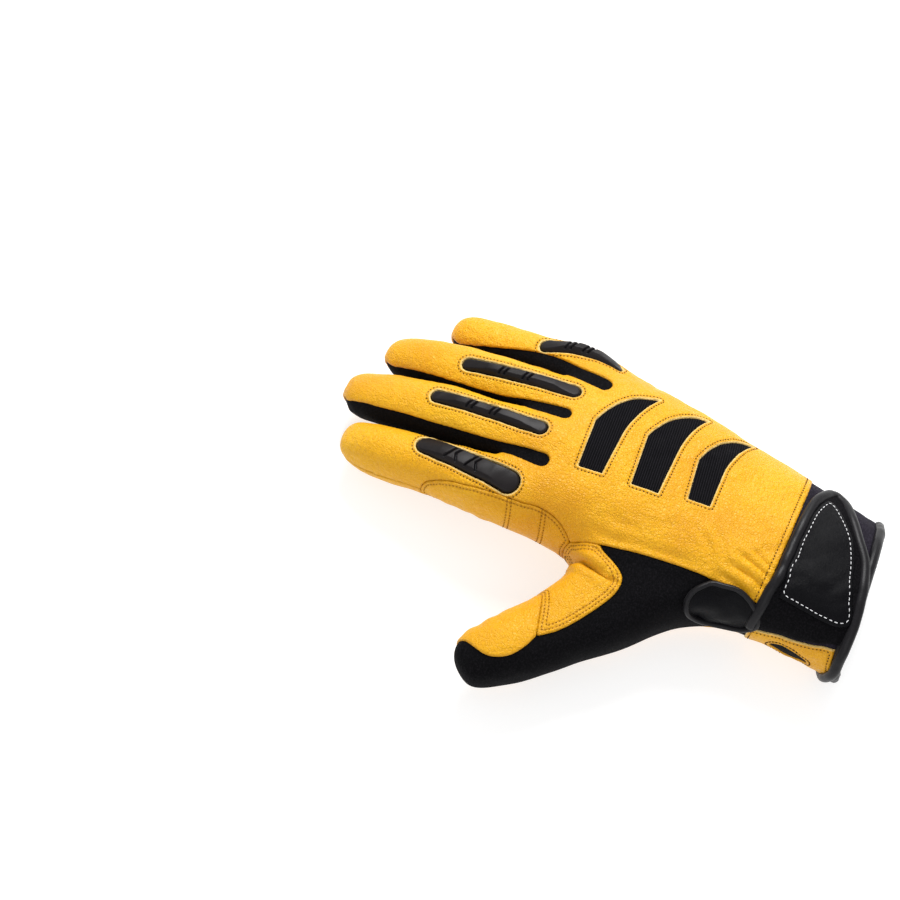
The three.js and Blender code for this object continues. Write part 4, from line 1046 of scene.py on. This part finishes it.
def tube(name, line, width, height, lift, around):
    """Piping of oval section along a line of rows, lying on the surface."""
    rows = spaced(line, 1.2)
    closed = np.linalg.norm(line[0, :3] - line[-1, :3]) < 0.5
    if closed:
        rows = rows[:-1]
        following, before = np.roll(rows, -1, axis=0), np.roll(rows, 1, axis=0)
        tangent = unit(following[:, :3] - before[:, :3])
    else:
        tangent = unit(np.gradient(rows[:, :3], axis=0))
    normal = unit(rows[:, 3:6] - tangent * (rows[:, 3:6] * tangent).sum(1, keepdims=True))
    across = np.cross(normal, tangent)
    centre = rows[:, :3] + normal * lift
    points = centre[:, None] + oval(across, normal, width, height, around)
    add_piece(name, points.reshape(-1, 3), ring_faces(len(rows), around, closed), PIPING)


# Leather pieces

LEATHER_HEIGHT = 0.9
LEATHER_DEPTH = 1.2
RIM_RADIUS = 0.8
RIM_LEVELS = (0.25, 0.7)
GROOVE_DEPTH = 0.25
GROOVE_WIDTH = 0.6
# Shares of painted shade in stitch grooves and along the rims of leather panels
GROOVE_SHADE = 0.3
RIM_SHADE = 0.4
PALE_REACH = (0.25, 0.75)
PALE_SHARE = 0.9
STITCH_INSET = 1.5
STITCH_SINK = 0.13
PUCKER_HEIGHT = 0.12
PUCKER_SIZE = 3.2
PUCKER_REACH = 2.5
upper = skin_labels % 2 == 1
everywhere = upper | ~upper


def keep(patch, *fields):
    for field in fields:
        patch = cut(patch, field(patch[0]))
    return patch


def outside(field):
    return lambda data: -field(data)


def grown(field, amount):
    return lambda data: field(data) - amount


def leather_piece(name, patch, stitch_fields, pale_fields=(), thread=BROWN_THREAD):
    """A leather panel with rounded rims, cream cut edges, and stitches sunk in grooves along fields."""
    patch = with_rims(patch, RIM_LEVELS)
    for field in stitch_fields:
        for shift in (-GROOVE_WIDTH, 0, GROOVE_WIDTH):
            patch = cut(patch, field(patch[0]) + shift, keep_both=True)
    data = patch[0]
    rim = data[:, 6]
    surface = round_rim(rim, LEATHER_HEIGHT, RIM_RADIUS)
    pucker = waves(data[:, :3], PUCKER_SIZE, 11) * np.exp(-rim / PUCKER_REACH)
    surface += PUCKER_HEIGHT * pucker * smooth_step(0, 1, rim)
    # Painted shade: the colour darkens near the panel's rims and in its stitch grooves, kept in the shade
    # attribute
    shade = RIM_SHADE * np.exp(-rim / 0.5)
    for field in stitch_fields:
        groove = np.clip(1 - np.abs(field(data)) / GROOVE_WIDTH, 0, 1)
        surface -= GROOVE_DEPTH * groove
        shade = np.maximum(shade, GROOVE_SHADE * groove)
    pale = np.zeros(len(data))
    for field in pale_fields:
        pale = np.maximum(pale, 1 - smooth_step(*PALE_REACH, np.abs(field(data))))
    looks = dict(shade=shade * (1 - pale), pale=pale * PALE_SHARE)
    shell(name, patch, surface, LEATHER_DEPTH, LEATHER, looks)
    lines = [line for field in stitch_fields for line in contours(patch, field(data))]
    stitches(name + "_stitches", lines, thread, "leather", lift=LEATHER_HEIGHT - STITCH_SINK)


def runs(line, wanted):
    """The stretches of a line where wanted is true."""
    if np.allclose(line[0], line[-1]) and not wanted.all():
        first = int(np.argmin(wanted))
        line, wanted = np.roll(line[:-1], -first, axis=0), np.roll(wanted[:-1], -first)
    parts, current = [], []
    for row, good in zip(line, wanted):
        if good:
            current.append(row)
        elif current:
            parts.append(np.array(current))
            current = []
    if current:
        parts.append(np.array(current))
    return [part for part in parts if len(part) > 4]


def rim_field(data):
    return data[:, 6] - STITCH_INSET


PAD_SEAT = 0.35
vent_fields = [in_plan(outline) for outline in vent_outlines]


def pad_axes(pad):
    """Where the middle of the pad's heel lies on the skin, and the ways across, along and up."""
    turn, tilt = math.radians(pad["lean"]), math.radians(pad["tilt"])
    up = np.array((math.sin(tilt), 0, math.cos(tilt)))
    along = np.array((-math.sin(turn), math.cos(turn), 0))
    across = unit(np.cross(along, up))
    x, y = plan(pad["start"])
    heel, _, _, _ = skin_tree.ray_cast(Vector((x, y, FAR)), Vector((0, 0, -1)))
    return np.array(heel), across, np.cross(up, across), up


def in_pad(pad, outline):
    heel, across, along, up = pad_axes(pad)

    def field(data):
        offset = data[:, :3] - heel
        beside = np.stack([offset @ across, offset @ along], axis=1)
        return np.maximum(outline_distance(beside, outline), -(data[:, 3:6] @ up) * PAD_WIDTH)

    return field


pad_fields = [in_pad(pad, outline) for pad, outline in zip(PADS, pad_outlines)]
SLOT_DROP = 2.8


def in_slot(outline):
    """The slot in plan, wider on the sides and undersides of the fingers."""
    def field(data):
        drop = SLOT_DROP * smooth_step(0.42, 0.56, data[:, 1] / PALM_LENGTH)
        return outline_distance(data[:, :2], outline) - drop * smooth_step(0.45, 0.05, data[:, 5])

    return field


slot_fields = [in_slot(outline) for outline in slot_outlines]
side_field = in_plan(side_outline)
THUMB_EDGE = 7


def thumb_field(data):
    """The black back of the thumb, which wraps round its side down to THUMB_EDGE."""
    return np.maximum(outline_distance(data[:, :2], thumb_outline), THUMB_EDGE - data[:, 2])


near_back = refined(keep(skin_patch(upper), in_plan(back_outline)), vent_fields)
back = keep(near_back, *map(outside, slot_fields + vent_fields),
            *[outside(grown(field, PAD_SEAT)) for field in pad_fields])


def below_wrist(data):
    return data[:, 1] - wrist_y


WRIST_STITCH_INSET = 2.4
leather_piece("back_panel", back,
              [grown(field, STITCH_INSET) for field in vent_fields]
              + [grown(field, STITCH_INSET + 0.2) for field in pad_fields]
              + [grown(below_wrist, WRIST_STITCH_INSET)],
              vent_fields + [grown(field, PAD_SEAT) for field in pad_fields])
leather_piece("palm_panel", keep(skin_patch(~upper), in_plan(palm_outline), *map(outside, slot_fields),
                                 outside(side_field)), [])
leather_piece("palm_patch", keep(skin_patch(~upper), in_plan(patch_outline), outside(side_field),
                                 outside(thumb_field)), [rim_field])
CROSS_SEAMS = ((-0.47, 0.405), (-0.47, 0.388), (-0.45, 0.262), (-0.45, 0.245))
CROSS_SEAM_SLOPE = 0.4


def cross_seam(place):
    x, y = plan(place)
    return lambda data: data[:, 1] - y - CROSS_SEAM_SLOPE * (data[:, 0] - x)


leather_piece("side_patch", keep(skin_patch(everywhere), side_field),
              [rim_field] + [cross_seam(place) for place in CROSS_SEAMS], thread=AMBER_THREAD)
leather_piece("web_patch", keep(skin_patch(upper), in_plan(web_outline)),
              [rim_field, grown(rim_field, 1.5)], thread=AMBER_THREAD)
leather_piece("thumb_leather", keep(skin_patch(upper), in_plan(tip_outline)), [])

# Stretch fabric and knit

FABRIC_HEIGHT = 0.1
FABRIC_DEPTH = 1.2


def fabric_piece(name, patch, material=STRETCH, attributes=None):
    shell(name, patch, FABRIC_HEIGHT, FABRIC_DEPTH, material, attributes)


fabric_piece("thumb_back", keep(skin_patch(everywhere), thumb_field, outside(below_wrist)))
for index, field in enumerate(slot_fields):
    name = f"fourchette_{FINGERS[index]['name']}_{FINGERS[index + 1]['name']}"
    fabric_piece(name, keep(skin_patch(everywhere), grown(field, 0.2)))
RIB_PITCH = 0.95
for index, (vent, field) in enumerate(zip(VENTS, vent_fields)):
    patch = keep(skin_patch(upper), grown(field, 0.2))
    leg = unit(plan(vent["elbow"]) - plan(vent["end"]))
    rib = (patch[0][:, :2] @ np.array((leg[1], -leg[0]))) / RIB_PITCH
    fabric_piece(f"vent_insert_{index + 1}", patch, RIBBED, attributes=dict(rib=rib))

# Cuff

CUFF_RIM = 4


def gusset_field(data):
    return np.maximum(gusset_edge(data), data[:, 0] - GUSSET_INNER_EDGE * PALM_WIDTH)


angles = np.linspace(0, 2 * math.pi, 40, endpoint=False)
hole_outline = np.stack([
    GUSSET_HOLE["y"] * PALM_LENGTH + np.cos(angles) * GUSSET_HOLE["length"] * PALM_LENGTH / 2,
    GUSSET_HOLE["z"] * PALM_HEIGHT + np.sin(angles) * GUSSET_HOLE["height"] * PALM_HEIGHT / 2], axis=1)


def hole_field(data):
    return np.maximum(in_side(hole_outline)(data), data[:, 0])


cuff = keep(skin_patch(everywhere), below_wrist, outside(grown(cuff_end_distance, CUFF_RIM)))
fabric_piece("cuff_band", keep(cuff, outside(gusset_field)), INNER)
leather_piece("gusset", keep(cuff, gusset_field, outside(hole_field)),
              [rim_field, grown(hole_field, 1.5)], [gusset_edge])
fabric_piece("gusset_insert", keep(cuff, hole_field))
CUFF_BINDING = dict(height=1.9, radius=2.0, depth=1.6)
rim = keep(skin_patch(everywhere), grown(cuff_end_distance, CUFF_RIM), outside(cuff_end_distance))
rim = with_rims(rim, (0.5, 1.2))
shell("cuff_binding", rim, round_rim(rim[0][:, 6], CUFF_BINDING["height"], CUFF_BINDING["radius"]),
      CUFF_BINDING["depth"], PIPING)

# Strap

STRAP_SEAT = 0.3
STRAP_TOP = 2.3
STRAP_THIN = 1
BINDING_INSET = 1.8


def facing_up(data):
    """Below 0 where the skin faces up."""
    return -data[:, 5]


def strap_field(data):
    return np.maximum(strap_plan(data), -gusset_edge(data))


def raised(patch, low):
    """The patch lifted above the skin, so that a shell over it stands on the skin."""
    data = patch[0].copy()
    data[:, :3] += data[:, 3:6] * low
    return data, patch[1]


STRAP_REACH = 8
STRAP_PIPING = dict(width=4.4, height=3.8, lift=1.6, around=14)
STRAP_FOOT = 24
REAR_SLANT = 3.5
STRAP_REAR_Y = -0.9 * PALM_LENGTH
STRAP_REAR_Z = 6.5
near_strap = skin_patch(skin_points[skin_quads][:, :, 1].max(1) < wrist_y + STRAP_REACH)
strap = keep(near_strap, grown(strap_field, -BINDING_INSET), facing_up)
strap_full = STRAP_TOP - STRAP_SEAT
strap_thickness = STRAP_THIN + (strap_full - STRAP_THIN) * smooth_step(0, 5, gusset_edge(strap[0]))
shell("closure_strap", raised(strap, STRAP_SEAT), strap_thickness, 0, STRETCH)


def strap_edge(data):
    low = 1 - np.clip(data[:, 2] / STRAP_FOOT, 0, 1)
    return strap_plan(data) + BINDING_INSET + REAR_SLANT * low


strap_line = max(contours(near_strap, strap_edge(near_strap[0])), key=len)
at_rear = (strap_line[:, 1] < STRAP_REAR_Y) & (strap_line[:, 2] > STRAP_REAR_Z)
on_show = (gusset_edge(strap_line) > 2) | at_rear
strap_line = max(runs(strap_line, on_show & ((strap_line[:, 0] < 0) | (strap_line[:, 5] > 0))), key=len)
tube("strap_binding", strap_line, **STRAP_PIPING)
patch_field = in_plan(smooth_line(plan(STRAP_PATCH + STRAP_PATCH[:1]), 90))
on_strap = keep(near_strap, patch_field, facing_up, grown(strap_field, -BINDING_INSET - 1.5))
on_strap = with_rims(on_strap, (0.3, 0.8))
PATCH_HEIGHT = 1.1
PATCH_STITCHES = dict(pitch=2.05, length=1.3, thickness=0.36, lift=STRAP_TOP + PATCH_HEIGHT + 0.05)
patch_rim = on_strap[0][:, 6]
shell("strap_patch", raised(on_strap, STRAP_TOP), round_rim(patch_rim, PATCH_HEIGHT, 0.8), 0.4, SMOOTH)
patch_lines = contours(on_strap, patch_rim - 1.6)
stitches("strap_patch_stitches", patch_lines, WHITE_THREAD, "stretch", **PATCH_STITCHES)

# Pull tab

TAB_PIPING = dict(width=2.2, height=2.8, lift=1.5, around=12)
TAB_EDGE = 1.2
TAB_SWELL = 0.9
TAB_DENT = 0.35

tab_middle, tab_normal, _, _ = skin_tree.ray_cast(
    Vector((-FAR, TAB["y"] * PALM_LENGTH, TAB["z"] * PALM_HEIGHT)), Vector((1, 0, 0)))
tab_middle, tab_normal = np.array(tab_middle), np.array(tab_normal)
tab_level = unit(np.cross(tab_normal, (0, 0, 1)))
tab_rise = np.cross(tab_level, tab_normal)
tab_turn = math.radians(TAB["turn"])
tab_along = math.cos(tab_turn) * tab_level + math.sin(tab_turn) * tab_rise
tab_across = np.cross(tab_normal, tab_along)


def tab_field(data):
    """Distance to an oval lying flat against the thumb side of the wrist, below 0 inside."""
    offset = data[:, :3] - tab_middle
    along, across = offset @ tab_along / (TAB["length"] / 2), offset @ tab_across / (TAB["width"] / 2)
    away = np.abs(offset @ tab_normal) - TAB["width"]
    return np.maximum((np.hypot(along, across) - 1) * TAB["width"] / 2, away)


tab = keep(skin_patch(everywhere), tab_field)
tab = with_rims(tab, (1.0,))
tab_bulge = TAB_EDGE + TAB_SWELL * smooth_step(0, 6, tab[0][:, 6]) + TAB_DENT * waves(tab[0][:, :3], 9, 31)
shell("pull_tab", raised(tab, STRAP_SEAT), tab_bulge, 0, GLOSSY)
tab_line = max(rim_lines(tab), key=len)
tube("tab_binding", tab_line, **TAB_PIPING)

# Knuckle pads

# The facets of a pad's top: height at the rim, rise towards the middle, rise from the end
PAD_FACETS = ((0.6, 1.05, 0), (0.8, 0, 0.15), (0.45, 0.6, 0.09))
PAD_TOP = 2.5
PAD_RIM_SHADE = 0.6
PAD_FOOT = -0.4
PAD_BEVEL = 1.1
GROUPS = (0.44, 0.64)
CHEVRONS = (-1.1, 1.1)
SLASH_SLOPE = 0.5
SLASH_DEPTH = 1.5


def pad_piece(pad, outline):
    heel, across, along, up = pad_axes(pad)
    length = PAD_LENGTH * pad["length"]
    half = PAD_WIDTH * pad["width"] / 2
    rows, columns = ((190, 44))
    points = []
    for i in range(rows + 1):
        v = length * i / rows
        side_reach = half + (half * PAD_TAPER - half) * v / length
        ends = ((v, half), (length - v, half * PAD_TAPER))
        past = max(1 - min(end / radius, 1) for end, radius in ends)
        width = side_reach * math.sqrt(max(1 - past ** 2, 0))
        for j in range(columns + 1):
            points.append(((2 * j / columns - 1) * max(width, 0.02), v, side_reach))
    u, v, side_reach = np.array(points).T
    edge = np.maximum(-outline_distance(np.stack([u, v], axis=1), outline), 0)
    share = np.clip(edge / PAD_BEVEL, 0, 1)
    top = np.full(len(u), PAD_TOP)
    for rim_height, rise_inward, rise_along in PAD_FACETS:
        for end in (v, length - v):
            top = np.minimum(top, rim_height + rise_along * end + rise_inward * (side_reach - np.abs(u)))
    surface = round_rim(edge, top, PAD_BEVEL, PAD_FOOT)
    # Painted shade: darker at the pad's rim, and fully dark inside the slashes
    shade = PAD_RIM_SHADE * (1 - smooth_step(0, 0.6, edge))
    for group, chevron in [(group, chevron) for group in GROUPS for chevron in CHEVRONS]:
        bend = np.abs(u) if pad["finger"] == "index" and chevron < 0 else u
        gap = np.abs(v - length * group - chevron + SLASH_SLOPE * bend)
        cut_here = (1 - smooth_step(0.25, 0.6, gap)) * smooth_step(-0.8, -0.5, u / side_reach)
        surface -= SLASH_DEPTH * cut_here * share
        shade = np.maximum(shade, cut_here)
    starts = heel + up * FAR / 4 + np.outer(u, across) + np.outer(v, along)
    hits = [skin_tree.ray_cast(Vector(start), Vector(-up)) for start in starts]
    placed = [hit + normal * lift for (hit, normal, _, _), lift in zip(hits, surface)]
    wide = columns + 1
    faces = [(i * wide + j, i * wide + j + 1, (i + 1) * wide + j + 1, (i + 1) * wide + j)
             for i in range(rows) for j in range(columns)]
    top_count = len(placed)
    rim = [j for j in range(wide)] + [i * wide + columns for i in range(1, rows + 1)]
    rim += [rows * wide + j for j in range(columns - 1, -1, -1)] + [i * wide for i in range(rows - 1, 0, -1)]
    for number in rim:
        hit, normal, _, _ = hits[number]
        placed.append(hit - normal)
    for k, number in enumerate(rim):
        after = (k + 1) % len(rim)
        faces.append((rim[after], number, top_count + k, top_count + after))
    faces.append([top_count + k for k in range(len(rim))][::-1])
    add_piece("knuckle_pad_" + pad["finger"], np.array([tuple(p) for p in placed]), faces, RUBBER,
              dict(shade=np.r_[shade, np.ones(len(rim))]))


for pad, outline in zip(PADS, pad_outlines):
    pad_piece(pad, outline)

# Floor, light and camera

floor_mesh = bpy.data.meshes.new("floor")
FLOOR = 12.0
floor_mesh.from_pydata([(-FLOOR, -FLOOR, 0), (FLOOR, -FLOOR, 0), (FLOOR, FLOOR, 0), (-FLOOR, FLOOR, 0)], [],
                       [(0, 1, 2, 3)])
floor = bpy.data.objects.new("floor", floor_mesh)
bpy.context.scene.collection.objects.link(floor)
floor_material, floor_tree, floor_shader, floor_place = new_material("floor", 0.8, specular=0.1)
floor_gray = fade(floor_tree, noise(floor_tree, floor_place, 3), (0.3, 0.49), (0.7, 0.51))
finish_material(floor_tree, floor_shader, floor_gray)
floor_shader.inputs["Emission Color"].default_value = (1, 1, 1, 1)
floor_shader.inputs["Emission Strength"].default_value = 0.66
floor_mesh.materials.append(floor_material)

world = bpy.data.worlds.new("studio")
bpy.context.scene.world = world
world.use_nodes = True
world.node_tree.nodes["Background"].inputs["Color"].default_value = (1, 1, 1, 1)
world.node_tree.nodes["Background"].inputs["Strength"].default_value = 0.66
bpy.context.scene.view_settings.view_transform = "Standard"


def area_light(name, place, target, size, power):
    light = bpy.data.lights.new(name, "AREA")
    light.shape = "DISK"
    light.size = size
    light.energy = power
    obj = bpy.data.objects.new(name, light)
    obj.location = place
    obj.rotation_euler = (Vector(target) - Vector(place)).to_track_quat("-Z", "Y").to_euler()
    bpy.context.scene.collection.objects.link(obj)


area_light("key", (0.6, 0.2, 0.7), (0, 0, 0.02), 0.5, 10)
area_light("fill", (-0.9, -0.2, 0.7), (0, 0, 0.02), 1.0, 2.5)

CAMERA_AZIMUTH, CAMERA_ELEVATION, CAMERA_ROLL = math.radians(-70.72), math.radians(62.63), math.radians(7.03)
CAMERA_PLACE = np.array((-0.36, -0.0446, 0.7096))
camera_data = bpy.data.cameras.new("camera")
camera_data.lens = 75.9
camera = bpy.data.objects.new("camera", camera_data)
bpy.context.scene.collection.objects.link(camera)
bpy.context.scene.camera = camera
back_way = np.array((math.sin(CAMERA_AZIMUTH) * math.cos(CAMERA_ELEVATION),
                     -math.cos(CAMERA_AZIMUTH) * math.cos(CAMERA_ELEVATION), math.sin(CAMERA_ELEVATION)))
level = unit(np.cross(-back_way, (0, 0, 1)))
upright = np.cross(back_way, level)
right_way = math.cos(CAMERA_ROLL) * level + math.sin(CAMERA_ROLL) * upright
up_way = -math.sin(CAMERA_ROLL) * level + math.cos(CAMERA_ROLL) * upright
matrix = np.eye(4)
matrix[:3, 0], matrix[:3, 1], matrix[:3, 2], matrix[:3, 3] = right_way, up_way, back_way, CAMERA_PLACE
camera.matrix_world = matrix.T.tolist()
